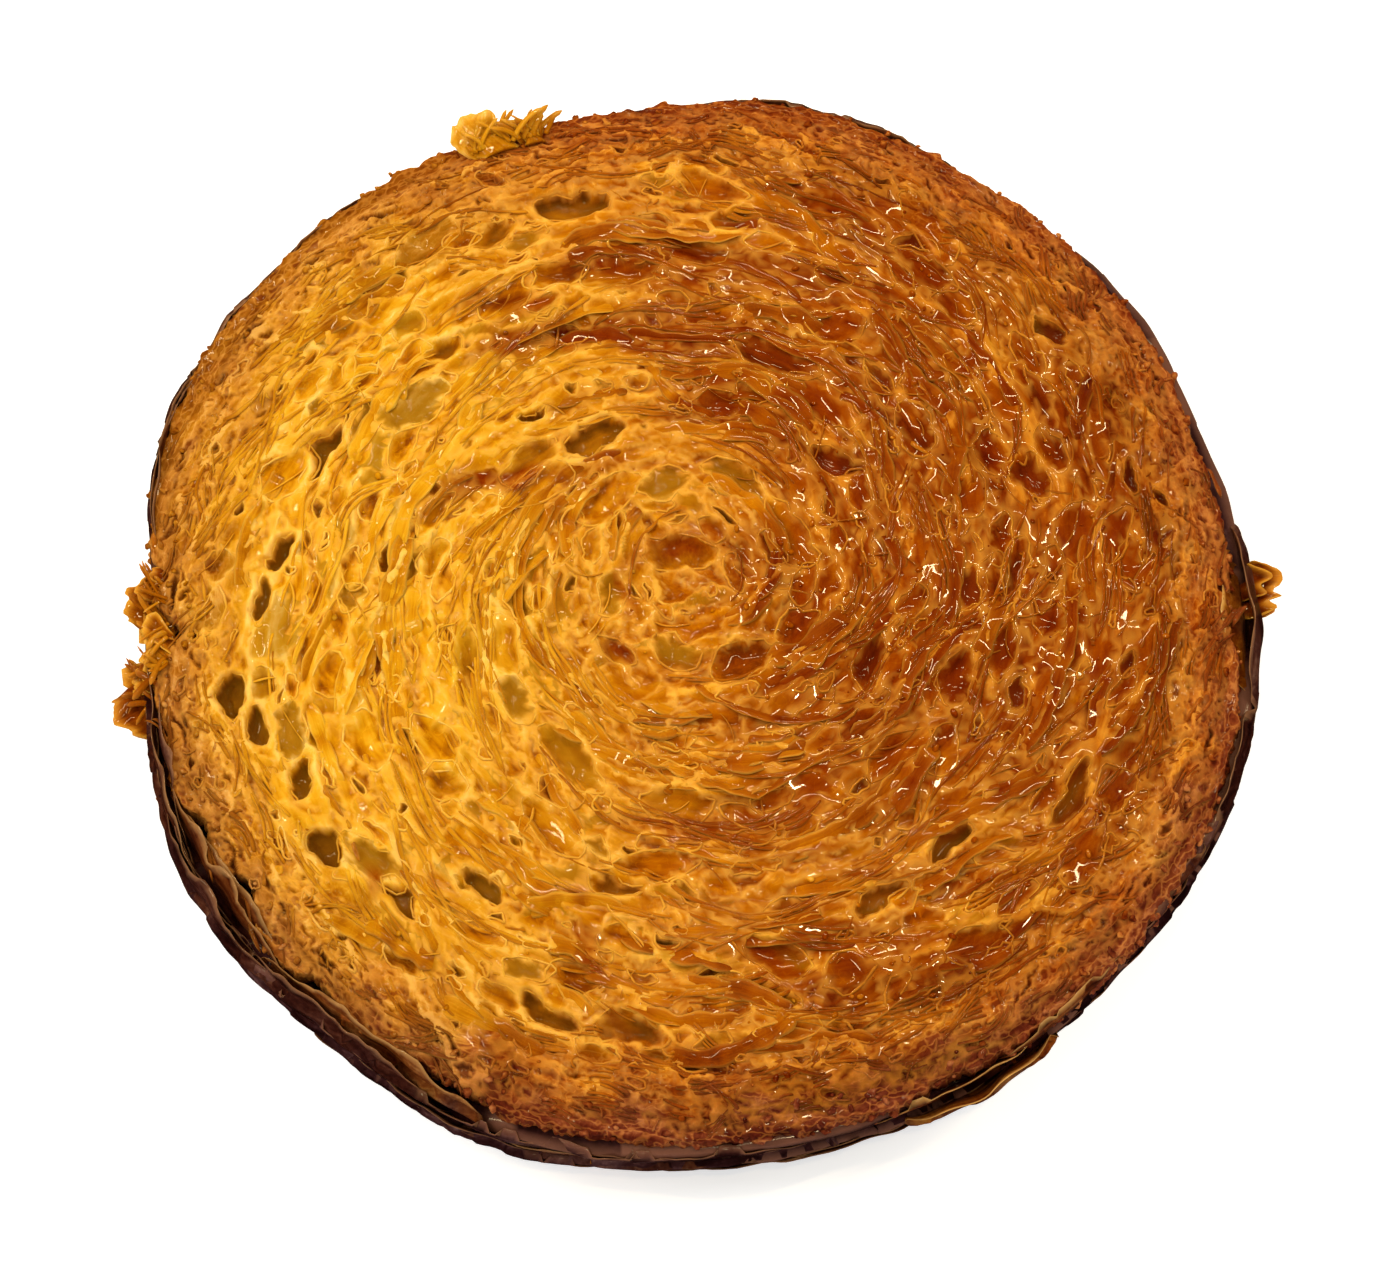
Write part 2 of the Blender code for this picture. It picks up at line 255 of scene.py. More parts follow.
FLAKE_COLUMNS = 21
FLAKE_ROWS = 15
FLAKE_THICKNESS = 0.42

# Where the random draws of each kind start
SEEDS = {
    "bubbles": 5, "leaves": 6, "sheets": 8, "flakes": 9, "rim_crumbs": 12, "beads": 14, "flake_threads": 15,
    "strands": 400,
}

PIXEL = 0.14  # spacing of the fields that the relief is worked out on
FIELD_REACH = 57.0  # half the side of the fields
FACE_SQUARES = 560  # squares across the cut face before it is thinned out
CRUST_SQUARES = 400
CRUST_ROWS = 30
CRUMB_TRIANGLES = 198_000
CRUST_TRIANGLES = 60_000


# Lamps, all pointed at the disc: (name, place in metres, width and height, power in watts, seen in gloss)
LAMPS = (
    ("box_left", (-0.48, 0.10, 0.42), (0.34, 0.34), 1.60, False),
    ("box_right", (0.46, 0.16, 0.40), (0.30, 0.30), 0.90, False),
    ("box_front", (-0.10, -0.55, 0.34), (0.30, 0.30), 0.85, False),
    ("strip_left", (-0.20, 0.26, 0.42), (0.010, 0.22), 0.36, True),
    ("strip_far_left", (-0.36, 0.02, 0.40), (0.010, 0.22), 0.36, True),
    ("strip_back", (0.08, 0.38, 0.38), (0.24, 0.009), 0.36, True),
    ("strip_high", (0.02, 0.12, 0.50), (0.16, 0.008), 0.27, True),
    ("strip_right", (0.28, 0.08, 0.42), (0.009, 0.20), 0.34, True),
    ("spark", (0.05, -0.10, 0.50), (0.022, 0.022), 0.20, True),
)
WARM = (1.0, 0.80, 0.45)  # colour of the lamps that are seen in gloss
FLOOR_SIZE = 6.0  # metres
FLOOR_GLOW = 0.46
ROOM_GLOW = 0.31

CAMERA_ELEVATION = math.radians(70.0)
CAMERA_DISTANCE = 302.0
CAMERA_AIM = (0.9, -5.9, 14.0)
CAMERA_LENS = 80.0
CAMERA_SENSOR = 36.0


def lobes(table, angle):
    """The sum of a table's waves at an angle round the rim: (waves, size, angle of a high point)."""
    return sum(size * np.cos(waves * (angle - math.radians(high))) for waves, size, high in table)


def ease(low, high, value):
    """0 up to low and 1 from high on, with a smooth rise between."""
    share = np.clip((value - low) / (high - low), 0.0, 1.0)
    return share * share * (3.0 - 2.0 * share)


def turned(x, y, heading):
    """x and y along and across a heading."""
    cos, sin = np.cos(heading), np.sin(heading)
    return x * cos + y * sin, y * cos - x * sin


def wander(x, y, wavelength, seed):
    """Smooth unevenness from about -1 to 1, on a seeded lattice of slopes."""
    turn = np.random.default_rng(seed).uniform(0.0, math.tau, (256, 256))
    slope_x, slope_y = np.cos(turn).astype(np.float32), np.sin(turn).astype(np.float32)
    u, v = x / wavelength + 1000.0, y / wavelength + 1000.0
    column, row = np.floor(u).astype(np.int32), np.floor(v).astype(np.int32)
    u, v = (u - column).astype(np.float32), (v - row).astype(np.float32)
    blend_u, blend_v = u * u * (3 - 2 * u), v * v * (3 - 2 * v)

    def corner(a, b):
        p, q = (column + a) & 255, (row + b) & 255
        return slope_x[p, q] * (u - a) + slope_y[p, q] * (v - b)

    low = corner(0, 0) * (1 - blend_u) + corner(1, 0) * blend_u
    high = corner(0, 1) * (1 - blend_u) + corner(1, 1) * blend_u
    return 1.6 * (low * (1 - blend_v) + high * blend_v)


def wanders(x, y, waves):
    """The sum of several: (size, wavelength, seed)."""
    return sum(size * wander(x, y, wavelength, seed) for size, wavelength, seed in waves)


def scattered(draw, low, high, count=None):
    """Places drawn evenly over the face between two shares of the rim."""
    distance = RIM_RADIUS * np.sqrt(draw.uniform(low**2, high**2, count))
    angle = draw.uniform(0.0, math.tau, count)
    return distance * np.cos(angle), distance * np.sin(angle)


def one_each(draw, count):
    """A function that draws as many values between two limits, down a column."""
    return lambda low, high: draw.uniform(low, high, (count, 1))


def read(field, x, y):
    """A field's value at places between its points."""
    last = field.shape[0] - 1.001
    u, v = (np.clip((place + FIELD_REACH) / PIXEL, 0, last) for place in (x, y))
    i, j = u.astype(np.int32), v.astype(np.int32)
    u, v = u - i, v - j
    low = field[j, i] * (1 - u) + field[j, i + 1] * u
    high = field[j + 1, i] * (1 - u) + field[j + 1, i + 1] * u
    return low * (1 - v) + high * v


def soften(field, radius):
    """A field blurred over a radius."""
    size = field.shape[0]
    waves = np.fft.fftfreq(size) * math.tau * radius / PIXEL
    keep = np.exp(-0.5 * waves * waves)
    spectrum = np.fft.rfft2(field) * keep[:, None] * keep[None, : size // 2 + 1]
    return np.fft.irfft2(spectrum, s=field.shape)


def spot(x, y):
    """The point of the fields that is nearest to a place."""
    return round((y + FIELD_REACH) / PIXEL), round((x + FIELD_REACH) / PIXEL)


class Crumb:
    """The cut face as fields: how the dough's layers run, the bubbles between them, and the caramel."""

    def __init__(self):
        size = 2 * round(FIELD_REACH / PIXEL)
        places = (np.arange(size) * PIXEL - FIELD_REACH).astype(np.float32)
        self.x, self.y = np.meshgrid(places, places)
        self.angle = np.arctan2(self.y, self.x)
        self.distance = np.hypot(self.x, self.y)
        self.share = self.distance / rim_at(self.angle)
        self.inner = 1.0 - ease(0.84, 0.95, self.share)
        self.run_layers()
        # Places with a wander to them, so that what is laid by them has uneven outlines
        bends = ((0.7, 4.0), (0.40, 1.3), (0.19, 0.55))
        self.bent_x, self.bent_y = (
            place + wanders(self.x, self.y, [(*bend, seed + k) for k, bend in enumerate(bends)])
            for place, seed in ((self.x, 31), (self.y, 41))
        )
        self.lay_leaves()
        self.raise_bubbles()
        self.pour_caramel()
        self.shape_relief()

    def run_layers(self):
        """Which way the layers run: round the roll, a little outward, and any way at all in the rim."""
        x, y = self.x, self.y
        stray = 0.38 * (1.0 - self.inner) * wander(x, y, 3.5, 13)
        sway = wanders(x, y, ((0.35, 9.0, 11), (0.16, 3.0, 12)))
        sway *= (0.35 + 0.65 * self.inner) * (1.0 + 1.3 * (1.0 - ease(3.0, 17.0, self.distance)))
        self.heading = self.angle + math.pi / 2 - math.radians(9) + sway + stray
        self.along = np.cos(self.heading), np.sin(self.heading)
        strand = self.draw_out(wanders(x, y, ((1.0, 0.42, 21), (0.6, 0.9, 22))), 1.9)
        folds = self.draw_out(wanders(x, y, ((1.0, 2.6, 23), (0.7, 1.3, 24))), 7.0, 0.5)
        self.strand, self.folds = strand / strand.std(), folds / folds.std()

    def step(self, x, y, way, length):
        """The places a step on, at a turn from the run of the layers."""
        ahead_x, ahead_y = turned(read(self.along[0], x, y), read(self.along[1], x, y), -way)
        return x + length * ahead_x, y + length * ahead_y

    def draw_out(self, pattern, reach, hop=0.28):
        """A pattern drawn out along the layers, as threads of dough."""
        total, weight = pattern.copy(), 1.0
        for side in (1, -1):
            x, y = self.x.copy(), self.y.copy()
            for fade in np.linspace(1.0, 0.0, int(reach / hop) + 2)[1:-1]:
                x[:], y[:] = self.step(x, y, 0.0, side * hop)
                total += fade * read(pattern, x, y)
                weight += fade
        return total / weight

    def around(self, x, y, reach, heading):
        """The part of the fields within reach of a place, and its points along and across a heading."""
        first = [max(int((place - reach + FIELD_REACH) / PIXEL), 0) for place in (y, x)]
        last = [int((place + reach + FIELD_REACH) / PIXEL) + 1 for place in (y, x)]
        window = slice(first[0], last[0]), slice(first[1], last[1])
        return window, *turned(self.bent_x[window] - x, self.bent_y[window] - y, heading)

    def lay_leaves(self):
        """Leaves of dough, each tilted so that one long edge stands over the next leaf."""
        self.leaf_top, self.leaf_edge, self.leaf_shade = (
            np.full(self.x.shape, level, np.float32) for level in (-0.6, 2.0, 0.5)
        )
        draw = np.random.default_rng(SEEDS["leaves"])
        for count, widths, stretch, lift, sag, out in LEAVES:
            for _ in range(count):
                x, y = scattered(draw, 0.0, out)
                width = draw.uniform(*widths)
                length = width * draw.uniform(*stretch)
                heading = self.heading[spot(x, y)] + draw.normal(0.0, 0.30)
                side = 1.0 if draw.random() < 0.6 else -1.0
                rise, slope = draw.normal(0.0, 0.16), draw.normal(0.0, 0.12)
                window, along, across = self.around(x, y, length + 1.5, heading)
                along, across = along / length, across / width + 0.35 * (along / length) ** 2
                ring = along**2 + across**2
                height = rise + lift * side * across + slope * along - sag * (1.0 - ring)
                on_top = (ring < 1.0) & (height > self.leaf_top[window])
                self.leaf_top[window][on_top] = height[on_top]
                self.leaf_edge[window][on_top] = ((1.0 - np.sqrt(ring)) * width)[on_top]
                self.leaf_shade[window][on_top] = draw.random()

    def raise_bubbles(self):
        """Fills the face with bubbles, the largest first, each keeping some room to those before it."""
        self.near = np.full(self.x.shape, 9.0, np.float32)
        self.second = self.near.copy()
        self.owner = np.zeros(self.x.shape, np.int32)
        self.bubbles, self.outlines = [], []
        draw = np.random.default_rng(SEEDS["bubbles"])
        for angle, distance, length, width, depth, turn, is_open in HOLLOWS:
            angle = math.radians(angle)
            middle = distance * math.cos(angle), distance * math.sin(angle)
            heading = angle + math.pi / 2 + math.radians(turn)
            self.add_bubble(*middle, length / 2, width / 2, heading, depth, 0.0, is_open, 0.5)
        for row in BUBBLES:
            self.add_bubbles(draw, *row)
        self.bubbles = np.array(self.bubbles, np.float32)

    def add_bubbles(self, draw, count, widths, stretch, depths, ring, room, tilt, open_share, open_depths):
        """One row of BUBBLES, tried up to six times as often as it has bubbles."""
        placed = 0
        for _ in range(6 * count):
            x, y = scattered(draw, *ring)
            here = spot(x, y)
            width = draw.uniform(*widths)
            if self.near[here] < room * width:
                continue
            length = width * draw.uniform(*stretch)
            heading = self.heading[here] + draw.normal(0.0, 0.16)
            is_open = draw.random() < open_share
            depth = draw.uniform(*(open_depths if is_open else depths))
            slant = draw.uniform(-tilt, tilt)
            self.add_bubble(x, y, length, width, heading, depth, slant, float(is_open), draw.random())
            placed += 1
            if placed == count:
                return

    def add_bubble(self, x, y, length, width, heading, depth, tilt, is_open, film):
        """One bubble, given by half its length and width. near is how far each point is outside its nearest
        bubble, second the same for the next one, and owner the number of the nearest."""
        window, along, across = self.around(x, y, max(length, width) + 2.0, heading)
        ring = np.hypot(along / length, across / width)
        gap = (ring - 1.0) * min(length, width) * (0.55 + 0.45 * np.minimum(ring, 1.0))
        near, second, owner = self.near[window], self.second[window], self.owner[window]
        closer = gap < near
        second[:] = np.where(closer, near, np.minimum(second, gap))
        near[:] = np.where(closer, gap, near)
        owner[:] = np.where(closer, len(self.bubbles), owner)
        slope = tilt * math.cos(heading + 1.2), tilt * math.sin(heading + 1.2)
        self.bubbles.append((x, y, width, depth, *slope, is_open, film))
        self.outlines.append((x, y, length, width, heading))

    def pour_caramel(self):
        """How much caramel lies where: in arcs, drawn out along the layers, and more on the right."""
        x, y = self.x, self.y
        angle, distance = np.arctan2(self.bent_y, self.bent_x), np.hypot(self.bent_x, self.bent_y)
        amount = np.zeros(x.shape, np.float32)
        for at, out, length, width, turn, most in ARCS:
            swing = (angle - math.radians(at) + math.pi) % math.tau - math.pi
            along, across = turned(swing * out, distance - out, math.radians(turn))
            arc = most * np.exp(-0.9 * ((along / length) ** 2 + (across / width) ** 2))
            amount = np.maximum(amount, arc)
        streaks = self.draw_out(wanders(x, y, ((1.0, 1.5, 51), (0.8, 3.2, 52))), 3.2)
        toward = 0.10 * ease(-32.0, -8.0, x) + 0.60 * ease(-16.0, 24.0, x) + 0.12 * wander(x, y, 13.0, 53)
        toward -= 0.16 * ease(14.0, 34.0, -y) * ease(0.0, 12.0, x)
        self.glaze = ease(0.28, 0.80, amount * 0.85 + (toward + 0.40 * streaks) * (0.4 + 0.6 * self.inner))

    def shape_relief(self):
        """The heights of the cut face over its even level, and what its colours are worked out from."""
        x, y, inner = self.x, self.y, self.inner
        middle_x, middle_y, width, depth, slope_x, slope_y, is_open, film = np.moveaxis(
            self.bubbles[self.owner], -1, 0
        )
        inside = np.minimum(-self.near, 0.5 * (self.second - self.near))
        in_bubble = inside > 0.0
        wall = np.where(is_open > 0.5, 0.28, np.clip(0.25 + 0.30 * width, 0.2, 0.7))
        bowl = ease(0.0, 1.0, inside / wall) * in_bubble
        slant = slope_x * (x - middle_x) + slope_y * (y - middle_y)
        floor = slant * (1.0 - is_open) - depth
        swell = wanders(x, y, ((0.35, 5.0, 61), (0.18, 1.7, 62)))
        ropes = 0.14 * np.minimum(np.abs(self.folds), 1.5) ** 0.8 - 0.10 + self.leaf_top
        threads = 0.03 * self.strand * (1.0 - 0.6 * bowl)
        crumbs = sum(
            high * np.clip(1.0 - np.abs(wander(x, y, wavelength, seed)) / 0.55, 0.0, 1.0)
            for high, wavelength, seed in ((0.18, 2.3, 63), (0.12, 1.1, 64))
        ) - 0.12
        turns = np.hypot(x - SPIRAL_X, y) / LAYER_PITCH - np.arctan2(y, x - SPIRAL_X) / math.tau
        ridge = 0.6 * LAYER_RELIEF * np.cos(math.tau * turns + 1.5 * wander(x, y, 11.0, 65))
        ridge *= ease(0.0, 15.0, self.distance)
        relief = bowl * floor + (swell + ridge) * inner
        relief += ropes * (1.0 - 0.55 * bowl) * (0.45 + 0.55 * inner)
        relief += threads + crumbs * (1.0 - inner) * (1.0 - bowl)
        # Caramel fills the low places, and the edges of thin dough are round
        filled = np.maximum(relief, soften(relief, 0.9) + 0.05)
        relief = relief + (filled - relief) * 0.55 * self.glaze * (1.0 - 0.8 * is_open * bowl)
        relief = relief + (soften(relief, 0.22) - relief) * 0.85 * inner * (1.0 - 0.6 * is_open * bowl)
        relief = relief + (soften(relief, 0.34) - relief) * 0.8 * self.glaze
        relief = np.where(relief > 0.2, 0.2 + 0.5 * np.tanh((relief - 0.2) / 0.5), relief)
        self.relief = relief * (1.0 - 0.6 * ease(0.97, 1.0, self.share))
        self.smooth_relief = soften(self.relief, 0.45)
        # lip: a painted highlight, pale along bubble rims and the raised edges of leaves
        lip_and_painted_highlight = np.exp(-((np.maximum(self.near, 0.0) / 0.18) ** 2)) * (self.near > -0.06)
        self.lip_and_painted_highlight = np.maximum(lip_and_painted_highlight, np.exp(-((self.leaf_edge / 0.16) ** 2)) * (1.0 - bowl))
        # tone: painted shade, lighter where the face stands above its smoothed self and darker in its
        # hollows
        self.tone = np.clip(0.5 + (self.relief - soften(self.relief, 0.8)) / 1.4, 0.0, 1.0)
        self.bowl, self.pore, self.large = bowl, bowl * is_open, bowl * (width > 0.85)
        self.film = np.where(in_bubble, film, self.leaf_shade)
        self.band = np.clip(0.5 + 0.30 * self.folds, 0.0, 1.0)

    def surface(self, x, y):
        """The height of the cut face, without its finest unevenness."""
        return face_level(x, y) + read(self.smooth_relief, x, y)


def rim_at(angle):
    """The rim's radius at an angle."""
    return RIM_RADIUS + lobes(RIM_LOBES, angle)


def face_level(x, y):
    """The cut face's even level: crowned, and rounded off at the rim."""
    share = np.hypot(x, y) / rim_at(np.arctan2(y, x))
    return THICKNESS + CROWN * (1.0 - share**2) - EDGE_ROUNDING * ease(0.93, 1.0, share)


def near_to(angle, place, half_width):
    """1 at a place round the rim, in degrees, falling off to both sides."""
    away = (np.degrees(angle) - place + 180.0) % 360.0 - 180.0
    return np.exp(-((away / half_width) ** 2))


def pocket(angle, what):
    """How far in (2) or how deep (3) the pockets are at an angle."""
    return sum(row[what] * near_to(angle, row[0], row[1]) ** 2 for row in POCKETS)


def snug(angle):
    """How much closer the crust lies to the crumb at an angle."""
    return sum(amount * near_to(angle, place, half_width) for place, half_width, amount in SNUG)


def fray(angle):
    """How the torn edge of the crumb strays in and out."""
    x, y = RIM_RADIUS * np.cos(angle), RIM_RADIUS * np.sin(angle)
    torn = wanders(x, y, ((0.42, 3.1, 71), (0.30, 1.2, 72), (0.14, 0.55, 75)))
    return torn + 0.35 - 0.5 * snug(angle) - pocket(angle, 2)


def crust_radius(angle, height):
    """The radius of the side at a height: it bulges, and sheets of crust overlap on it."""
    down = 1.0 - height / THICKNESS
    fullness = 1.0 - np.abs(2.0 * down - 1.0) ** BULGE_FULLNESS
    bulge = (CRUST_BULGE + lobes(BULGE_LOBES, angle)) * fullness
    ledge = SHEET_LEDGE * ((height + lobes(SHEET_LOBES, angle)) / SHEET_HEIGHT % 1.0) * fullness
    foot = FOOT_INSET * ease(0.5, 1.0, down)
    return rim_at(angle) + bulge + ledge - foot - snug(angle) * ease(0.0, 3.0, height)


def wrinkles(angle, height):
    """The unevenness of the crust, drawn out round the disc."""
    x, y = RIM_RADIUS * np.cos(angle), RIM_RADIUS * np.sin(angle)
    broad = 0.30 * wander(x + 2.0 * height, y - 2.0 * height, 6.0, 73)
    return broad + 0.16 * wander(0.4 * x + 3.0 * height, 0.4 * y - 3.0 * height, 2.0, 74)


def ringlike(radius, angle, height):
    """Corners at a radius, an angle and a height."""
    return np.stack([radius * np.cos(angle), radius * np.sin(angle), height + 0.0 * radius], axis=-1)


def square_grid(squares):
    """A square grid bent to the unit disc: each corner's share of the rim, its angle, and the squares."""
    side = np.linspace(-1.0, 1.0, squares + 1)
    x, y = np.meshgrid(side, side)
    wide = np.abs(x) >= np.abs(y)
    run = np.where(wide, x, y)
    run = np.where(run == 0.0, 1.0, run)
    angle = np.where(wide, math.pi / 4 * y / run, math.pi / 2 - math.pi / 4 * x / run)
    angle = np.where(run < 0.0, angle + math.pi, angle)
    number = np.arange((squares + 1) ** 2).reshape(squares + 1, squares + 1)
    faces = np.stack([number[:-1, :-1], number[:-1, 1:], number[1:, 1:], number[1:, :-1]], axis=-1)
    ring = np.concatenate([number[0, :-1], number[:-1, -1], number[-1, :0:-1], number[:0:-1, 0]])
    return np.maximum(np.abs(x), np.abs(y)).ravel(), angle.ravel(), faces.reshape(-1, 4), ring


def knit(name, corners, faces, material):
    """A smooth mesh from corners in millimetres and groups of faces, each group with as many corners."""
    mesh = bpy.data.meshes.new(name)
    mesh.vertices.add(len(corners))
    mesh.vertices.foreach_set("co", (np.asarray(corners) * MM).astype(np.float32).ravel())
    turns = np.concatenate([group.ravel() for group in faces])
    sizes = np.concatenate([np.full(len(group), group.shape[1]) for group in faces])
    mesh.loops.add(len(turns))
    mesh.loops.foreach_set("vertex_index", turns.astype(np.int32))
    mesh.polygons.add(len(sizes))
    mesh.polygons.foreach_set("loop_start", (np.cumsum(sizes) - sizes).astype(np.int32))
    mesh.update(calc_edges=True)
    mesh.shade_smooth()
    mesh.materials.append(material)
    piece = bpy.data.objects.new(name, mesh)
    bpy.context.scene.collection.objects.link(piece)
    return piece


def corners_of(piece):
    """A piece's corners in millimetres."""
    mesh = piece.data
    places = np.empty(3 * len(mesh.vertices), np.float32)
    mesh.vertices.foreach_get("co", places)
    return (places.reshape(-1, 3) / MM).T


def note(piece, notes, shape=-1):
    """Writes three numbers under each name on each corner, which a material reads by the name. A number that
    is the same for many corners is spread to the shape that they lie in."""
    for name, values in notes.items():
        layer = piece.data.attributes.new(name, "FLOAT_VECTOR", "POINT")
        shape = (len(layer.data),) if shape == -1 else shape
        triple = [np.broadcast_to(value, shape).ravel() for value in values]
        layer.data.foreach_set("vector", np.stack(triple, axis=1).astype(np.float32).ravel())
    return piece


def thin_out(piece, triangles):
    """Collapses the flattest edges until this many triangles are left."""
    size = sum(len(face.vertices) - 2 for face in piece.data.polygons)
    thinner = piece.modifiers.new("thin_out", "DECIMATE")
    thinner.ratio = min(1.0, triangles / size)
    depsgraph = bpy.context.evaluated_depsgraph_get()
    mesh = bpy.data.meshes.new_from_object(piece.evaluated_get(depsgraph))
    piece.modifiers.clear()
    piece.data = mesh


def closed_shell(name, squares, top, side, base, material, triangles):
    """A closed piece: a top and a base over the disc, with rings of corners down the side between them."""
    share, angle, faces, ring = square_grid(squares)
    corners, groups = [top(share, angle)], [faces]
    above, count = ring, len(share)
    for places in side(angle[ring], corners[0][ring]):
        below = count + np.arange(len(ring))
        corners.append(places)
        groups.append(np.stack([above, below, np.roll(below, -1), np.roll(above, -1)], axis=1))
        above, count = below, count + len(ring)
    # The base has half as many corners round it, so three triangles go to each of its squares
    share, angle, faces, ring = square_grid(squares // 2)
    corners.append(base(share, angle))
    inner, (first, second) = count + ring, above.reshape(-1, 2).T
    after, next_inner = np.roll(first, -1), np.roll(inner, -1)
    groups.append(count + faces[:, ::-1])
    for triangle in ((first, inner, second), (second, inner, next_inner), (second, next_inner, after)):
        groups.append(np.stack(triangle, axis=1))
    piece = knit(name, np.concatenate(corners), groups, material)
    thin_out(piece, triangles)
    return piece


def make_crumb(crumb, material):
    """The cut face, on a slab whose edge tucks in behind the top of the crust."""

    def top(share, angle):
        radius = share * (rim_at(angle) + fray(angle) * ease(0.90, 1.0, share))
        places = ringlike(radius, angle, 0.0)
        x, y = places[:, 0], places[:, 1]
        places[:, 2] = face_level(x, y) + read(crumb.relief, x, y)
        return places

    def side(angle, edge):
        radius = np.hypot(edge[:, 0], edge[:, 1])
        for inward, drop in TUCK:
            x, y = 1.04 * edge[:, 0] + drop, 1.04 * edge[:, 1] - drop
            rough = 0.40 * np.abs(wander(x, y, 1.7, 76)) + 0.30 * np.abs(wander(x, y, 0.8, 77)) - 0.2
            yield ringlike(radius - inward + rough, angle, edge[:, 2] - drop)

    def base(share, angle):
        return ringlike(share * (rim_at(angle) - 4.0), angle, CRUMB_UNDERSIDE)

    piece = closed_shell("crumb", FACE_SQUARES, top, side, base, material, CRUMB_TRIANGLES)
    x, y, _ = corners_of(piece)
    return note(piece, crumb_notes(crumb, x, y))


def make_crust(crumb, crust_finish, crumb_finish):
    """The browned side and the base. Its top is hidden in the crumb."""

    def top(share, angle):
        height = CRUMB_UNDERSIDE + 0.6 + (CRUST_TOP - CRUMB_UNDERSIDE - 0.6) * ease(0.94, 0.985, share)
        height = height - pocket(angle, 3) * ease(0.86, 0.92, share)
        return ringlike(share * (crust_radius(angle, CRUST_TOP) - 0.2), angle, height)

    def side(angle, edge):
        for share in np.linspace(1.0, 0.0, CRUST_ROWS + 1)[1:]:
            height = share * edge[:, 2]
            rough = wrinkles(angle, height) * ease(0.0, 1.5, height)
            yield ringlike(crust_radius(angle, height) + rough, angle, height)

    def base(share, angle):
        places = ringlike(share * crust_radius(angle, 0.0) * (1.0 - 0.004 * share), angle, 0.0)
        pressed = np.clip(-0.10 - 0.45 * read(crumb.relief, -places[:, 0], places[:, 1]), 0.0, 0.8)
        places[:, 2] = pressed * (1.0 - ease(0.93, 1.0, share))
        return places

    piece = closed_shell("crust", CRUST_SQUARES, top, side, base, crust_finish, CRUST_TRIANGLES)
    x, y, z = corners_of(piece)
    edge = ease(0.72, 0.98, (z + lobes(SHEET_LOBES, np.arctan2(y, x))) / SHEET_HEIGHT % 1.0)
    notes = crumb_notes(crumb, -x, y, UNDERSIDE_BAKE)
    note(piece, {**notes, "crust_tones": (edge, 0.35, 0.0), "streak_place": streak_place(x, y, z)})
    mesh = piece.data
    mesh.materials.append(crumb_finish)
    under = [face.center.z < 1.0 * MM and face.normal.z < -0.5 for face in mesh.polygons]
    mesh.polygons.foreach_set("material_index", under)
    return piece


def streak_place(x, y, z):
    """Where the crust's streaks are read: 7 mm long round the disc, and 0.45 mm high."""
    return x / 7.0, y / 7.0, z / 0.45


def crumb_notes(crumb, x, y, browner=0.0):
    """What the crumb's material reads at places of the face: three numbers under each name."""
    angle = np.arctan2(y, x)
    share = np.hypot(x, y) / rim_at(angle)
    pore, lip_and_painted_highlight, film, tone, strand, glaze, bowl, band = (
        read(getattr(crumb, name), x, y)
        for name in ("pore", "lip_and_painted_highlight", "film", "tone", "strand", "glaze", "bowl", "band")
    )
    golden = ease(6.0, -28.0, x + 0.0050 * y * y + 7.0 * wander(x, y, 16.0, 93))
    bake = ease(0.76, 0.98, share + wanders(x, y, ((0.06, 6.0, 91), (0.045, 2.2, 92))))
    bake = bake * (1.0 - 0.30 * golden)
    # Darker at the rim's outer edge, most round the front of the disc, at 285 degrees
    rim_edge_darkening = ease(0.91, 0.985, share + wanders(x, y, ((0.03, 2.2, 94), (0.03, 7.0, 95))))
    rim_edge_darkening = rim_edge_darkening * (0.35 + 0.65 * near_to(angle, 285.0, 100.0))
    shine = np.clip((0.42 + 0.50 * glaze) * (1.0 - 0.55 * bake), 0.0, 1.0)
    glaze = np.clip(glaze + 0.36 * (film - 0.5) * (1.0 - bake), 0.0, 1.0)
    return {
        "shine": [shine, ease(0.80, 0.93, share) * (1.0 - pore), rim_edge_darkening],
        "cells": [pore, lip_and_painted_highlight, film],
        "baking": [glaze, np.maximum(bake, browner), bowl],
        "grain": [tone, strand, golden],
        "lie": [band, 0.0, 0.0],
    }


def tubes(x, y, height, half_width, half_height, bank, dish, sides, closed=False):
    """Flattened tubes along rows of places: their corners, the faces, and where each corner lies across its
    tube, from -1 to 1."""
    paths = np.stack([x, y, height], axis=-1)
    run = np.roll(paths, -1, axis=1) - np.roll(paths, 1, axis=1) if closed else np.gradient(paths, axis=1)
    run /= np.linalg.norm(run, axis=-1, keepdims=True) + 1e-9
    aside = np.cross(run, (0.0, 0.0, 1.0))
    aside /= np.linalg.norm(aside, axis=-1, keepdims=True) + 1e-9
    aside, up = turned(aside, np.cross(aside, run), bank[..., None])
    turn = np.arange(sides) * math.tau / sides
    across, over = np.cos(turn)[:, None], np.sin(turn)[:, None]
    wide, high, dished = (size[..., None, None] for size in (half_width, half_height, dish))
    corners = paths[:, :, None] + wide * across * aside[:, :, None]
    corners = corners + (high * over + dished * wide * across**2) * up[:, :, None]
    corners[..., 2] = np.minimum(corners[..., 2], TOP_LIMIT)
    number = np.arange(corners[..., 0].size).reshape(corners.shape[:3])
    first, second = (number, np.roll(number, -1, axis=1)) if closed else (number[:, :-1], number[:, 1:])
    faces = np.stack([first, np.roll(first, -1, axis=2), np.roll(second, -1, axis=2), second], axis=-1)
    ends = [] if closed else [number[:, 0, ::-1], number[:, -1]]
    return corners.reshape(-1, 3), [faces.reshape(-1, 4), *ends], np.broadcast_to(np.cos(turn), number.shape)


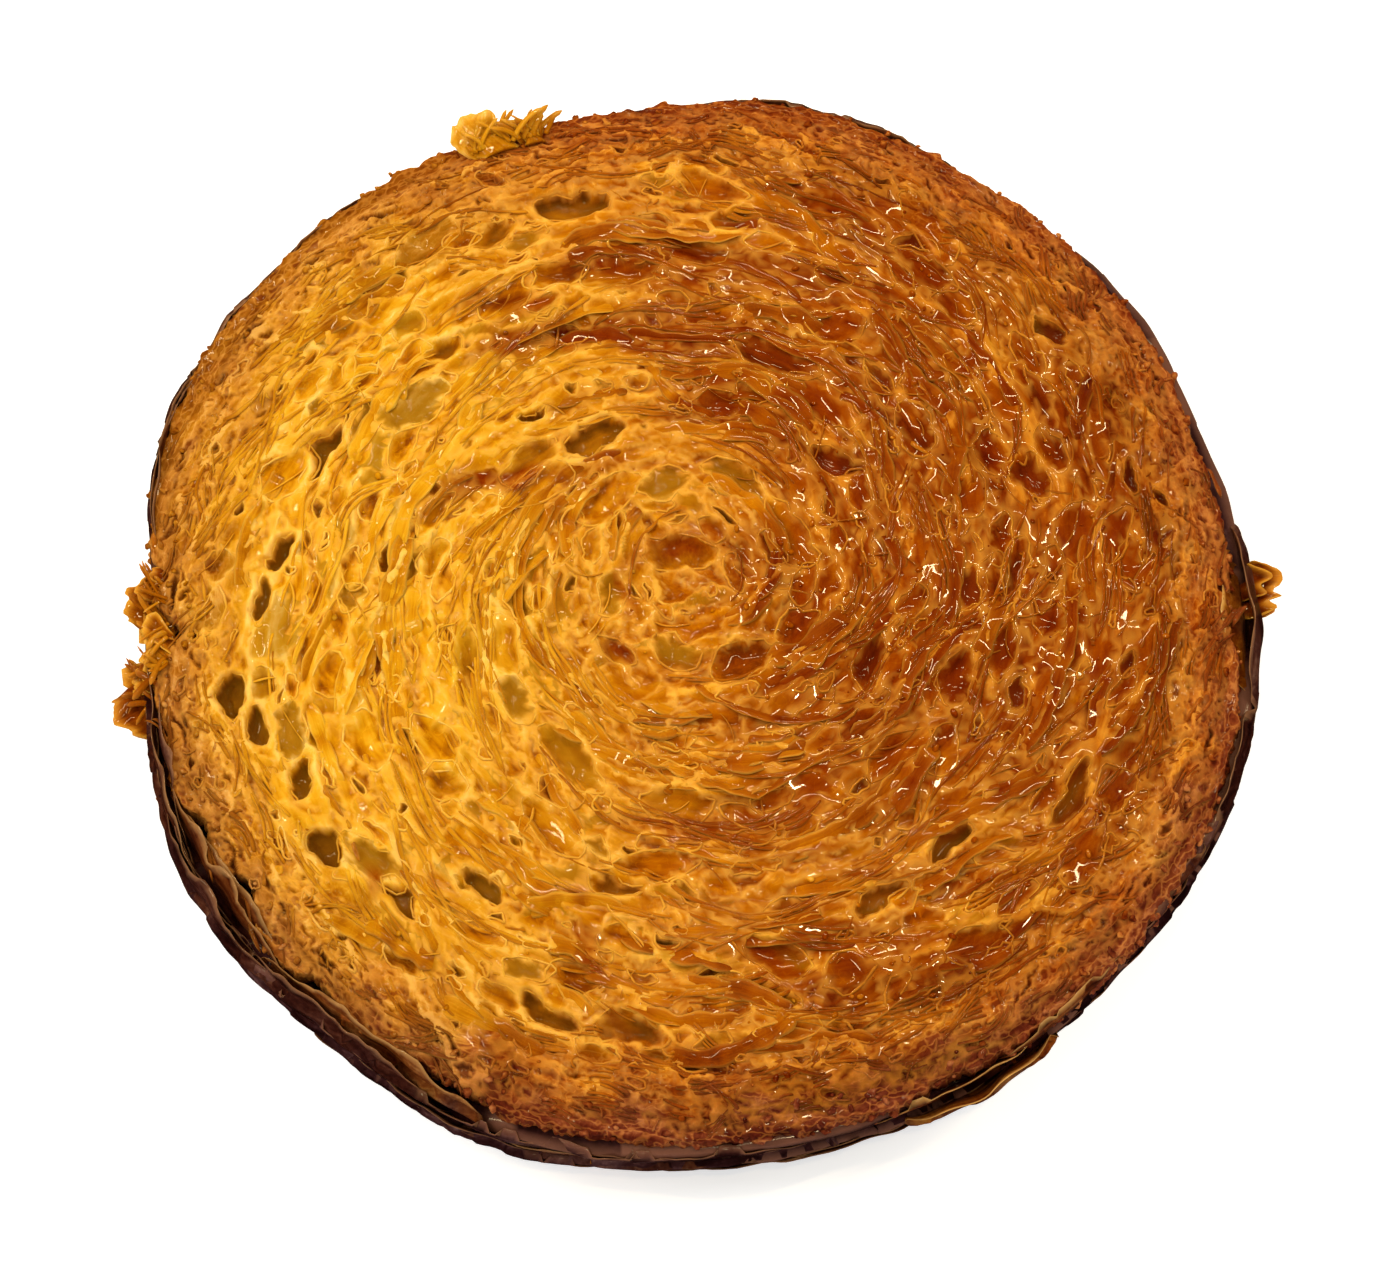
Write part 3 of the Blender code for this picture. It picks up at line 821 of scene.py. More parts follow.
def make_strands(crumb, row, material, seed):
    """Dough pulled into strands, each lying on the face and dipping into it at both ends."""
    name, count, widths, heights, lengths, off_run, stray, curls, *row = row
    lifts, dishes, ring, steps, sides, pale, abreast, spacing = row
    draw = np.random.default_rng(seed)
    groups = 6 * count // abreast
    tries = groups * abreast

    def alike(values):
        """The same value for all that lie side by side."""
        return np.repeat(values, abreast)

    x, y = map(alike, scattered(draw, *ring, groups))
    length = alike(draw.uniform(*lengths, groups)) * draw.uniform(0.6, 1.0, tries)
    turn = draw.normal(math.radians(off_run), stray, groups)
    turn = alike(turn + np.where(draw.random(groups) < 0.5, 0.0, math.pi))
    curl = (alike(draw.normal(0.0, curls, groups)) + draw.normal(0.0, 0.1, tries)) / steps
    aside = np.tile(np.arange(abreast) - 0.5 * abreast, groups) + draw.uniform(-0.25, 0.25, tries)
    ahead = (draw.uniform(-0.2, 0.2, tries) - 0.5) * length
    x, y = crumb.step(x, y, turn + math.pi / 2, spacing * aside)
    passed = [crumb.step(x, y, turn, ahead)]
    for step in range(steps - 1):
        passed.append(crumb.step(*passed[-1], turn + curl * step, length / (steps - 1)))
    x, y = np.array(passed).transpose(1, 2, 0)
    from_middle = np.hypot(x, y)
    blocked = read(crumb.pore, x, y).max(axis=1) > (0.3 if widths[1] > 0.2 else 0.9)
    blocked |= (read(crumb.large, x, y).mean(axis=1) > 0.25) & (widths[1] > 0.15)
    blocked |= draw.random(tries) > 0.35 + 0.65 * ease(4.0, 15.0, from_middle.mean(axis=1))
    blocked |= (from_middle / RIM_RADIUS).max(axis=1) > ring[1] + 0.03
    kept = np.nonzero(~blocked)[0][:count]
    x, y, length, each = x[kept], y[kept], length[kept, None], one_each(draw, len(kept))
    along = np.linspace(0.0, 1.0, steps)
    own_width = each(*widths)
    taper = np.clip(np.minimum(along, 1.0 - along) * length / (0.4 + 0.9 * own_width), 0.05, 1.0)
    uneven = wander(x + 9.0 * own_width, y, 1.9, seed + 1)
    half_width = own_width * taper**0.5 * (1.0 + 0.45 * uneven)
    half_height = each(*heights) * (0.3 + 0.7 * taper)
    lift = each(*lifts) + 0.10 * wander(x, y, 2.1, seed + 2)
    height = crumb.surface(x, y) + lift - 0.6 * (1.0 - taper) ** 1.5
    bank = draw.normal(0.0, 0.20, (len(kept), 1)) + 0.30 * wander(x, y, 3.1, seed + 3)
    dish = each(*dishes) + 0.0 * x
    corners, faces, spread = tubes(x, y, height, half_width, half_height, bank, dish, sides)
    notes = crumb_notes(crumb, x[..., None], y[..., None])
    # Painted shade and highlight: ropes darker at their sides, dished films lighter at their edges, and pale
    # lines along the edges
    tone = 0.52 + np.where(dish[..., None] > 0.05, 0.22 * spread**4 - 0.12, -0.16 * spread**2)
    under = np.sin(np.arange(sides) * math.tau / sides) < -0.2
    shade = each(0.05, 0.68)[..., None]
    # The undersides are painted darker and more amber, as painted shade under the strands
    glaze = notes["baking"][0] + draw.normal(0.0, 0.16, (len(kept), 1, 1)) + 0.2 * under
    notes["shine"][1] = notes["baking"][2] = 0.0
    notes["baking"][0] = np.clip(glaze, 0.0, 1.0)
    notes["grain"][0] = np.where(under, 0.35, tone + 0.10 * uneven[..., None] + pale)
    notes["cells"] = 0.0, np.maximum(0.7 * spread**6, 2.0 * pale), shade
    notes["lie"] = 0.5, (along * length)[..., None], spread * half_width[..., None] + 7.0 * shade
    return note(knit(name, corners, faces, material), notes, spread.shape)


def make_walls(crumb, material):
    """Thin walls of dough standing round the larger bubbles."""
    rows = np.array(crumb.outlines[:WALLED_BUBBLES])
    middle_x, middle_y, along, across, heading = (rows[:, k, None] for k in range(5))
    turn = np.linspace(0.0, math.tau, WALL_STEPS, endpoint=False)
    goal_x, goal_y = turned(along * np.cos(turn), across * np.sin(turn), -heading)
    x, y = goal_x, goal_y = middle_x + goal_x, middle_y + goal_y
    for _ in range(4):
        x, y = goal_x - (read(crumb.bent_x, x, y) - x), goal_y - (read(crumb.bent_y, x, y) - y)
    height = crumb.surface(x, y) + 0.02 + 0.16 * wander(x, y, 1.1, 312)
    width = 0.13 * (1.0 + 0.40 * wander(x, y, 1.4, 311))
    corners, faces, spread = tubes(x, y, height, width, 1.1 * width, 0.0 * x, 0.0 * x, 4, closed=True)
    notes = crumb_notes(crumb, x[..., None], y[..., None])
    # The walls get a pale lip and a light tone: partly the thin dough's lighter colour, partly painted
    # highlight
    notes["cells"] = 0.0, 0.55, 0.7
    notes["shine"][1], notes["grain"][0] = 0.0, 0.66
    return note(knit("bubble_walls", corners, faces, material), notes, spread.shape)


def make_balls(name, crumb, x, y, lift, size, lumps, draw, material, glossy=False):
    """Small lumpy balls at places of the face, each a little longer one way."""
    ball = bmesh.new()
    bmesh.ops.create_icosphere(ball, subdivisions=2, radius=1.0)
    corner_x, corner_y, corner_z = np.array([corner.co for corner in ball.verts]).T
    sides = np.array([[corner.index for corner in face.verts] for face in ball.faces])
    ball.free()
    x, y, size, height = (values[:, None] for values in (x, y, size, crumb.surface(x, y) + lift))
    each = one_each(draw, len(x))
    long, tall, turn = each(1.0, 1.7), each(0.6, 1.0), each(0.0, math.tau)
    flat = turned(size * long * corner_x, size * corner_y, -turn)
    spun = np.stack([*flat, size * tall * corner_z], axis=-1)
    places = spun + np.stack([x, y, height], axis=-1)
    bumpy = wander(*np.moveaxis(places[..., :2] + 0.7 * places[..., 2:], -1, 0), 0.45, 322)
    places = places + lumps * bumpy[..., None] * spun
    places[..., 2] = np.minimum(places[..., 2], TOP_LIMIT)
    faces = np.arange(len(x))[:, None, None] * len(corner_x) + sides
    notes = crumb_notes(crumb, x, y)
    notes["cells"] = 0.0, 0.0, each(0.0, 1.0)
    notes["shine"][1] = 0.0
    # Painted light: each ball is lighter on its top and on its outward lumps
    notes["grain"][0] = np.clip(0.48 + 0.25 * bumpy + 0.15 * corner_z, 0.0, 1.0)
    if glossy:
        notes["shine"][0] = 1.0
    return note(knit(name, places.reshape(-1, 3), [faces.reshape(-1, 3)], material), notes, bumpy.shape)


def make_rim_crumbs(crumb, material):
    """Crumbs of torn dough along the rim, so that its outline is ragged."""
    draw = np.random.default_rng(SEEDS["rim_crumbs"])
    angle = draw.uniform(0.0, math.tau, RIM_CRUMBS)
    share = 1.005 - 0.06 * draw.uniform(0.0, 1.0, RIM_CRUMBS) ** 3
    x, y, _ = ringlike(share * (rim_at(angle) + fray(angle)), angle, 0.0).T
    size = draw.uniform(0.15, 0.42, RIM_CRUMBS)
    down = np.where(share > 0.99, draw.uniform(0.0, 2.0, RIM_CRUMBS), 0.0)
    return make_balls("rim_crumbs", crumb, x, y, 0.1 * size - down, size, 0.60, draw, material)


def make_caramel_beads(crumb, material):
    """Beads of caramel that catch the light, most of them where the glaze is."""
    draw = np.random.default_rng(SEEDS["beads"])
    x, y = scattered(draw, 0.0, 0.93, 8 * CARAMEL_BEADS)
    wet = (read(crumb.glaze, x, y) > draw.uniform(-0.1, 1.0, len(x))) & (read(crumb.pore, x, y) < 0.1)
    kept = np.nonzero(wet)[0][:CARAMEL_BEADS]
    size = 0.10 + 0.22 * draw.uniform(0.0, 1.0, len(kept)) ** 3
    x, y, lift = x[kept], y[kept], 0.3 * size
    return make_balls("caramel_beads", crumb, x, y, lift, size, 0.1, draw, material, glossy=True)


def leaf(places, thickness):
    """A thin closed leaf: a grid of places and how thick it is at each, as corners and faces."""
    rows, columns = thickness.shape
    normal = np.cross(np.gradient(places, axis=0), np.gradient(places, axis=1))
    normal /= np.linalg.norm(normal, axis=-1, keepdims=True) + 1e-9
    half = 0.5 * thickness[..., None] * normal
    corners = np.stack([places + half, places - half]).reshape(-1, 3)
    number = np.arange(rows * columns).reshape(rows, columns)
    front = np.stack([number[:-1, :-1], number[1:, :-1], number[1:, 1:], number[:-1, 1:]], axis=-1)
    front = front.reshape(-1, 4)
    ring = np.concatenate([number[:-1, 0], number[-1, :-1], number[:0:-1, -1], number[0, :0:-1]])
    after, behind = np.roll(ring, -1), rows * columns
    border = np.stack([after, ring, ring + behind, after + behind], axis=1)
    return corners, np.concatenate([front, front[:, ::-1] + behind, border])


def lay_up(name, leaves, material):
    """Leaves as one piece. Each is (places, thickness, notes for the front and then for the back)."""
    corners, faces, notes, count = [], [], {}, 0
    for places, thickness, its_notes in leaves:
        its_corners, its_faces = leaf(places, thickness)
        corners.append(its_corners)
        faces.append(its_faces + count)
        count += len(its_corners)
        for key, values in its_notes.items():
            grids = [np.broadcast_to(value, (2, *thickness.shape)).ravel() for value in values]
            notes.setdefault(key, []).append(grids)
    piece = knit(name, np.concatenate(corners), [np.concatenate(faces)], material)
    return note(piece, {key: np.concatenate(parts, axis=1) for key, parts in notes.items()})


def crust_sheet(row, draw):
    """One sheet of crust: held at its ends and low edge, and standing off the side at its high edge."""
    start, end, low, high, off_low, off_high, golden = row
    start, end = math.radians(start), math.radians(end)
    along = np.linspace(0.0, 1.0, max(16, round((end - start) * RIM_RADIUS / SHEET_STEP)))[:, None]
    up = np.linspace(0.0, 1.0, SHEET_ROWS)[None, :]
    angle = start + along * (end - start)
    x, y = RIM_RADIUS * np.cos(angle), RIM_RADIUS * np.sin(angle)
    seed = int(draw.integers(1000))
    taper = (4.0 * along * (1.0 - along)) ** 0.45
    middle = 0.5 * (low + high)
    low_edge = middle + (low - middle) * taper + 0.5 * wander(x, y, 5.0, 101 + seed)
    high_edge = middle + (high - middle) * taper + 0.7 * wander(x, y, 4.0, 102 + seed)
    high_edge = high_edge + 0.3 * wander(x, y, 1.3, 103 + seed)
    height = np.clip(low_edge + up * (high_edge - low_edge), LOWEST, SHEET_TOP)
    off = (off_low + (off_high - off_low) * up**1.4) * taper
    off = off + 0.30 * wander(x + 3.0 * up, y, 3.4, 104 + seed) * taper * (0.3 + up) - 0.12
    off = off + 0.14 * wander(0.25 * x + height, 0.25 * y - height, 1.5, 107 + seed) * taper
    places = ringlike(crust_radius(angle, height) + off, angle, height)
    inside = np.minimum(np.minimum(along, 1.0 - along) * 8.0, np.minimum(up * 6.0, (1.0 - up) * 6.0))
    thickness = SHEET_THICKNESS * (0.30 + 0.70 * np.clip(inside, 0.0, 1.0))
    edge = ease(0.94, 1.0, up + 0.05 * wander(x, y, 1.6, 105 + seed))
    shade = draw.uniform(0.0, 0.65) + 0.4 * wander(x, y, 4.0, 106 + seed)
    outer_side = golden * ease(0.35, 0.95, up + 0.30 * wander(x, y, 2.6, 108 + seed))
    inner_side = 0.5 * golden + 0.15 + 0.0 * outer_side
    tones = edge * taper, shade, np.stack([outer_side, inner_side])
    x, y, height = streak_place(x, y, height)
    return places, thickness, {"crust_tones": tones, "streak_place": (x, y, height + seed)}


def make_sheets(material):
    """The sheets of crust all round, the named ones first."""
    draw = np.random.default_rng(SEEDS["sheets"])
    rows = list(SHEETS)
    for count in range(MORE_SHEETS):
        start = 360.0 * count / MORE_SHEETS + draw.uniform(-8.0, 8.0)
        span = draw.uniform(16.0, 46.0)
        low = draw.uniform(0.4, 7.0)
        high = min(low + draw.uniform(2.5, 6.5), 12.0)
        off = draw.uniform(0.0, 0.2), draw.uniform(0.15, 0.55)
        rows.append((start, start + span, low, high, *off, draw.uniform(0.0, 0.2)))
    return lay_up("crust_sheets", [crust_sheet(row, draw) for row in rows], material)


def flake_notes(edge, tone, glaze, bake, pale, run, aside):
    """What the crumb's material reads on a flake."""
    return {
        "shine": (0.75, 0.0, 0.0),
        "cells": (0.0, 0.7 * edge, 0.4),
        "baking": (glaze, bake, 0.0),
        "grain": (np.clip(tone, 0.0, 1.0), 0.0, 0.35 + 0.6 * pale),
        "lie": (0.5, run, aside),
    }


def make_flake_threads(material):
    """Torn threads of dough between the leaves of the flakes at the left. The others tore off smooth."""
    draw = np.random.default_rng(SEEDS["flake_threads"])
    rows = np.array([row for row in FLAKES if 90.0 < row[0] < 270.0])
    rows = np.repeat(rows, FLAKE_THREADS, axis=0)
    each = one_each(draw, len(rows))
    angle, half_width, height, half_height, reach, pale = (rows[:, k, None] for k in range(6))
    along = np.linspace(0.0, 1.0, 12)
    start = np.radians(angle + each(-0.95, 0.95) * half_width)
    level = height + each(-0.5, 0.9) * half_height
    radius = crust_radius(start, level) - 1.5 + along * (1.5 + reach * each(0.0, 0.75))
    around = start + (each(-2.6, 2.6) * along + each(-2.6, 2.6) * along**2) / RIM_RADIUS
    rise = level + each(-0.4, 1.4) * along + each(-1.8, 0.8) * along**2
    x, y, z = np.moveaxis(ringlike(radius, around, np.clip(rise, 0.4, TOP_LIMIT - 0.4)), -1, 0)
    width = each(0.14, 0.38) * np.clip(8.0 * np.minimum(along + 0.1, 1.03 - along), 0.1, 1.0)
    bank = each(-0.7, 0.7) + 0.0 * rise
    corners, faces, spread = tubes(x, y, z, width, 0.6 * width, bank, 0.0 * rise, 6)
    along, width, radius, pale = along[:, None], width[..., None], radius[..., None], pale[..., None]
    # Darker along the sides of each thread, as painted shade
    tone = 0.45 + 0.25 * pale + each(-0.15, 0.2)[..., None] + 0.1 * (along - spread**2)
    glaze, bake = (1.0 - pale) * each(0.1, 0.8)[..., None], (1.0 - 0.8 * pale) * each(0.4, 0.9)[..., None]
    notes = flake_notes(along**8, tone, glaze, bake, pale, radius, spread * width + 9.0)
    return note(knit("flake_threads", corners, faces, material), notes, spread.shape)


def flake_leaf(row, first, draw):
    """One torn leaf of a flake. The first is the whole width of it, and the others are smaller."""
    angle, half_width, height, half_height, reach, pale = row
    across = np.linspace(-1.0, 1.0, FLAKE_COLUMNS)[:, None]
    outward = np.linspace(0.0, 1.0, FLAKE_ROWS)[None, :]
    share = 1.0 if first else draw.uniform(0.40, 0.75)
    turn = math.radians(angle + draw.uniform(-1.0, 1.0) * half_width * (1.0 - share))
    seed = int(draw.integers(1000))
    width = math.radians(half_width) * RIM_RADIUS * share
    length = FLAKE_ROOT + reach * (1.08 if first else draw.uniform(0.35, 0.85))
    middle = height + draw.uniform(-0.8, 0.8) * half_height * (not first)
    lift, lean = draw.uniform(-0.25, 0.25), draw.normal(0.0, 0.30)
    curl, cup = draw.uniform(-0.8, 0.9), draw.uniform(-0.8, 0.3)
    u, v = across * width, outward * length
    ragged = 1.0 - 0.35 * np.abs(across) ** 3 + 0.22 * wander(u, 7.0 + 0.0 * u, 1.9, 201 + seed)
    ragged = np.clip(ragged + 0.20 * wander(u, 3.0 + 0.0 * u, 0.9, 206 + seed), 0.3, 1.0)
    crumple = 0.34 * wander(u + 5.0, v, 2.0, 202 + seed) + 0.24 * wander(u, v + 3.0, 0.9, 203 + seed)
    away = crust_radius(turn, middle) - FLAKE_ROOT + v * ragged
    narrowed = 1.0 - 0.18 * outward**4 - 0.10 * (1.0 - outward)
    aside = u * narrowed + lean * v + 0.25 * wander(u, v, 1.9, 204 + seed)
    rise = middle + lift * v + curl * outward**2 + cup * across**2 * width * 0.5 + crumple * (0.3 + outward)
    places = ringlike(away, turn + aside / RIM_RADIUS, np.clip(rise, LOWEST, TOP_LIMIT - 0.3))
    inside = np.clip(3.0 * (1.0 - np.maximum(np.abs(across), outward)), 0.0, 1.0)
    edge = ease(0.72, 1.0, np.maximum(across**2, outward))
    # Lighter at the torn edges, and lighter where the crumpled leaf rises, which is painted light
    tone = 0.40 + 0.30 * edge + 0.5 * crumple + 0.25 * pale + draw.uniform(-0.12, 0.12)
    glaze = (1.0 - pale) * draw.uniform(0.4, 0.9) * (1.0 - edge)
    bake = (1.0 - 0.8 * pale) * draw.uniform(0.65, 1.0) * (1.0 - 0.5 * edge)
    thickness = FLAKE_THICKNESS * (0.25 + 0.75 * inside)
    return places, thickness, flake_notes(edge**2, tone, glaze, bake, pale, v, u + 9.0)


def make_flakes(material):
    """Torn leaves of caramelized dough, a few to each place. Each is held at its inner end, and curls."""
    draw = np.random.default_rng(SEEDS["flakes"])
    leaves = [flake_leaf(row, count == 0, draw) for row in FLAKES for count in range(FLAKE_LEAVES)]
    return lay_up("crust_flakes", leaves, material)


# Materials


def linear(code):
    """An sRGB hex colour as the linear colour that shaders take."""
    parts = [int(code[k : k + 2], 16) / 255 for k in (1, 3, 5)]
    return [part / 12.92 if part <= 0.04045 else ((part + 0.055) / 1.055) ** 2.4 for part in parts] + [1.0]


def per(size):
    """The scale of a pattern whose features are this many millimetres."""
    return 1.0 / (size * MM)


def plug(sockets, values):
    """Gives sockets a number, a hex colour or another node's output. None leaves one as it is."""
    for key, value in values:
        if isinstance(value, bpy.types.NodeSocket):
            value.id_data.links.new(value, sockets[key])
        elif value is not None:
            sockets[key].default_value = linear(value) if isinstance(value, str) else value


def add_node(tree, kind, *values, out=0, stops=(), **settings):
    """Adds a node with its settings and links, and returns one of its outputs, or a slice of them. A second
    word in kind says what it works out. The values go to its inputs in their order."""
    kind, *mode = kind.split()
    made = tree.nodes.new("ShaderNode" + kind)
    for word in mode:
        setattr(made, "data_type" if kind == "Mix" else "operation", word)
    for key, value in settings.items():
        setattr(made, key, value)
    plug([socket for socket in made.inputs if socket.enabled], enumerate(values))
    for count, (place, code) in enumerate(stops):
        if count > 1:  # a new ramp has two stops
            made.color_ramp.elements.new(1.0)
        element = made.color_ramp.elements[count]
        element.position, element.color = place, linear(code)
    return [socket for socket in made.outputs if socket.enabled][out]


def new_material(name):
    """A material, what adds a node to it, and the inputs of its shader."""
    material = bpy.data.materials.new(name)
    material.use_nodes = True
    tree = material.node_tree
    return material, partial(add_node, tree), tree.nodes["Principled BSDF"].inputs


def crumb_material():
    """Laminated butter dough, baked, cut and caramelized: gold where it is dry, amber under caramel, and
    brown at the rim. Thin walls and raised edges are painted pale as painted highlight, hollows are painted
    darker as painted shade, and the floors of the opened bubbles are painted a dull brown as painted shade."""
    material, add, shader = new_material("baked laminated crumb")
    shine, net, rim_edge_darkening, pore, lip_and_painted_highlight, film, glaze, bake, bowl, tone, strand, golden, band, run, aside = (
        number
        for name in ("shine", "cells", "baking", "grain", "lie")
        for number in add("SeparateXYZ", add("Attribute", attribute_name=name, out=1), out=slice(3))
    )
    place = add("NewGeometry")
    flat = add("VectorMath MULTIPLY", place, (1.0, 1.0, 0.0))
    radius, outward = add("VectorMath LENGTH", flat), add("VectorMath NORMALIZE", flat)

    # Fibres, 0.45 mm apart on the face, where they run round the disc, and 3 mm by 0.22 mm on the strands
    bent = add("Math MULTIPLY", add("TexNoise", place, per(7.0), 1.0), 9.0)
    bent = add("CombineXYZ", 0.0, 0.0, add("Math MULTIPLY_ADD", radius, per(0.45), bent))
    on_face = add("VectorMath MULTIPLY_ADD", outward, (12.5, 12.5, 12.5), bent)
    on_strand = add("CombineXYZ", add("Math MULTIPLY", run, 1 / 3.0), add("Math MULTIPLY", aside, 1 / 0.22))
    of_strand = add("Math GREATER_THAN", add("Math ABSOLUTE", aside), 0.001)
    fibre = add("TexNoise", add("Mix VECTOR", of_strand, on_face, on_strand), 1.0, 2.0)
    speck = add("TexNoise", place, per(0.50), 2.0)
    cloud = add("TexNoise", place, per(3.5), 2.0)

    # The finest cells of the rim, 2.2 mm long and 0.7 mm wide: pale walls, and here and there a hole painted
    # dark, as painted shade, with no hole in the shape
    wide_way = add("CombineXYZ", 0.0, 0.0, add("Math MULTIPLY", radius, per(0.7)))
    cell_place = add("VectorMath MULTIPLY_ADD", outward, (52.0 / 2.2,) * 3, wide_way)
    warp = add("TexNoise", place, per(1.3), 1.0, out=1)
    cell_place = add("VectorMath MULTIPLY_ADD", warp, (1.6, 1.6, 1.6), cell_place)
    inset = add("TexVoronoi", cell_place, 1.0, feature="DISTANCE_TO_EDGE")
    lot = add("SeparateXYZ", add("TexVoronoi", cell_place, 1.0, out=1))
    cell_wall = add("Math MULTIPLY", add("MapRange", inset, 0.02, 0.13, 1.0, 0.0), net)
    painted_hole_shade = add("Math MULTIPLY", add("MapRange", inset, 0.14, 0.19), add("Math GREATER_THAN", lot, 0.78))
    painted_hole_shade = add("Math MULTIPLY", painted_hole_shade, net)

    # Creases in the thin films of dough, 1.5 mm apart
    folded = add("TexNoise", place, per(1.5), 1.0, 0.5, 2.0, 0.8)
    off_crease = add("Math ABSOLUTE", add("Math SUBTRACT", folded, 0.5))
    crease = add("MapRange", off_crease, 0.0, 0.022, 1.0, 0.0)

    # How light the dough is: (what, the value of it that changes nothing, how much it does)
    # The lightness starts from the tone, which holds painted shade: lighter on ridges, darker in hollows
    light = tone
    for what, even, share in (
        (fibre, 0.5, 0.50),
        (crease, 0.0, 0.12),
        (cell_wall, 0.0, 0.16),
        (speck, 0.5, add("Math MULTIPLY_ADD", bake, 0.50, 0.05)),
        (strand, 0.0, 0.07),
        (film, 0.5, 0.42),
        (band, 0.5, 0.30),
        (cloud, 0.5, 0.35),
    ):
        light = add("Math MULTIPLY_ADD", add("Math SUBTRACT", what, even), share, light)
    dry, honey, amber, browned = (
        add("ValToRGB", light, stops=zip((0.02, 0.28, 0.50, 0.74, 0.97), codes.split()))
        for codes in (
            "#8A4400 #C27800 #DC980C #EBAE26 #FACE66",
            "#7C3400 #A45000 #B66400 #CA7800 #EAA42C",
            "#561000 #762400 #883400 #9C4600 #CA7A1A",
            "#460E00 #6C1E00 #863000 #A04600 #CC7820",
        )
    )
    # The ramp for the darkened outer edge of the rim
    rim_edge_dark_ramp = zip((0.10, 0.40, 0.65, 0.95), ("#2E0A06", "#4E1A10", "#70321E", "#A2603C"))
    rim_edge_dark_ramp = add("ValToRGB", light, stops=rim_edge_dark_ramp)

    window = add("Math MULTIPLY", bowl, add("MapRange", film, 0.45, 1.0))
    thin = add("Math SUBTRACT", 0.6, add("Math MAXIMUM", lip_and_painted_highlight, bake), use_clamp=True)
    thin = add("Math MULTIPLY", add("MapRange", film, 0.70, 0.85), thin)
    # Browning of the rim, laid on most in the low places: real browning with painted shade in the hollows
    baked_with_painted_hollow_shade = add("Math MULTIPLY", bake, add("MapRange", tone, 0.85, 0.45, 0.45, 1.0))
    soaked = add("Mix RGBA", 1.0, browned, "#A86A50", blend_type="MULTIPLY")
    soaked = add("Mix RGBA", add("Math MULTIPLY", glaze, 0.8), browned, soaked)
    # The floors of opened bubbles are painted darker, as painted shade in the hollows
    deep = add("Mix RGBA", bake, add("Mix RGBA", glaze, "#8C5E0C", "#7A2A06"), "#481402")
    # Pale colour along lips and the rim's cell walls: painted highlight on the edges
    pale = add("Mix RGBA", bake, "#FBC052", "#CC8034")
    pale = add("Mix RGBA", add("Math MULTIPLY", glaze, 0.7), pale, "#D2841C")
    edges = add("Math MAXIMUM", add("Math MULTIPLY", lip_and_painted_highlight, 0.50), add("Math MULTIPLY", cell_wall, 0.22))
    # What lies over the dough, each over those before: (where, how strongly, its colour)
    colour = add("Mix RGBA", golden, honey, dry)
    for where, strength, its_colour in (
        (window, 0.70, "#96640A"),
        (thin, 1.0, "#94680E"),
        (glaze, 1.0, amber),
        (baked_with_painted_hollow_shade, 1.0, soaked),
        (pore, 0.85, deep),
        (painted_hole_shade, 0.8, add("Mix RGBA", bake, "#A04E02", "#642006")),
        (rim_edge_darkening, 0.9, rim_edge_dark_ramp),
        (edges, 1.0, pale),
    ):
        colour = add("Mix RGBA", add("Math MULTIPLY", where, strength), colour, its_colour)

    dull = add("Math MULTIPLY_ADD", speck, 0.3, 0.42)
    rough = add("Math MULTIPLY", add("Math MULTIPLY_ADD", bake, 0.9, 0.08), speck)
    plug(shader, {
        "Base Color": colour,
        "Roughness": add("Math MULTIPLY_ADD", glaze, -0.35, dull, use_clamp=True),
        "Coat Weight": shine,
        "Coat Roughness": 0.035,
        "Coat IOR": 1.45,
        "IOR": 1.45,
        "Specular IOR Level": 0.02,
        "Subsurface Weight": 0.12,
        "Subsurface Radius": (1.0, 0.45, 0.12),
        "Subsurface Scale": 0.9 * MM,
        "Normal": add("Bump", 0.5, 0.20 * MM, None, add("Math MULTIPLY_ADD", fibre, 0.40, rough)),
    }.items())
    return material


def crust_material():
    """Outer sheets of laminated dough, browned in butter against a ring: thin and taut, streaked round the
    disc, half glossy, and golden along the torn edges."""
    material, add, shader = new_material("butter-browned crust")
    drawn, tones = (add("Attribute", attribute_name=name, out=1) for name in ("streak_place", "crust_tones"))
    edge, shade, golden = add("SeparateXYZ", tones, out=slice(3))
    place = add("NewGeometry")
    streak = add("TexNoise", drawn, 1.0, 4.0)
    fine = add("TexNoise", place, per(0.45), 4.0)
    cloud = add("TexNoise", place, per(5.0), 2.0)
    light = add("Math MULTIPLY_ADD", shade, 0.35, 0.30)
    for what, share in ((streak, 1.1), (fine, 0.5), (cloud, 0.7)):
        light = add("Math MULTIPLY_ADD", add("Math SUBTRACT", what, 0.5), share, light)
    browned, flaky = (
        add("ValToRGB", light, stops=zip(places, codes.split()))
        for places, codes in (
            ((0.08, 0.32, 0.55, 0.76, 0.97), "#140404 #260B0B #3A1B1B #563634 #84625A"),
            ((0.08, 0.30, 0.52, 0.74, 0.97), "#4E1800 #7C3402 #A25608 #CA821C #F0BC58"),
        )
    )
    colour, torn = add("Mix RGBA", golden, browned, flaky), add("Mix RGBA", golden, "#845642", "#F0BE66")
    plug(shader, {
        "Base Color": add("Mix RGBA", add("Math MULTIPLY", edge, 0.75), colour, torn),
        "Roughness": add("Math MULTIPLY_ADD", fine, 0.3, 0.28),
        "Specular IOR Level": 0.05,
        "Coat Weight": 0.40,
        "Coat Roughness": 0.12,
        "Normal": add("Bump", 0.6, 0.30 * MM, None, add("Math MULTIPLY_ADD", fine, 0.3, streak)),
    }.items())
    return material


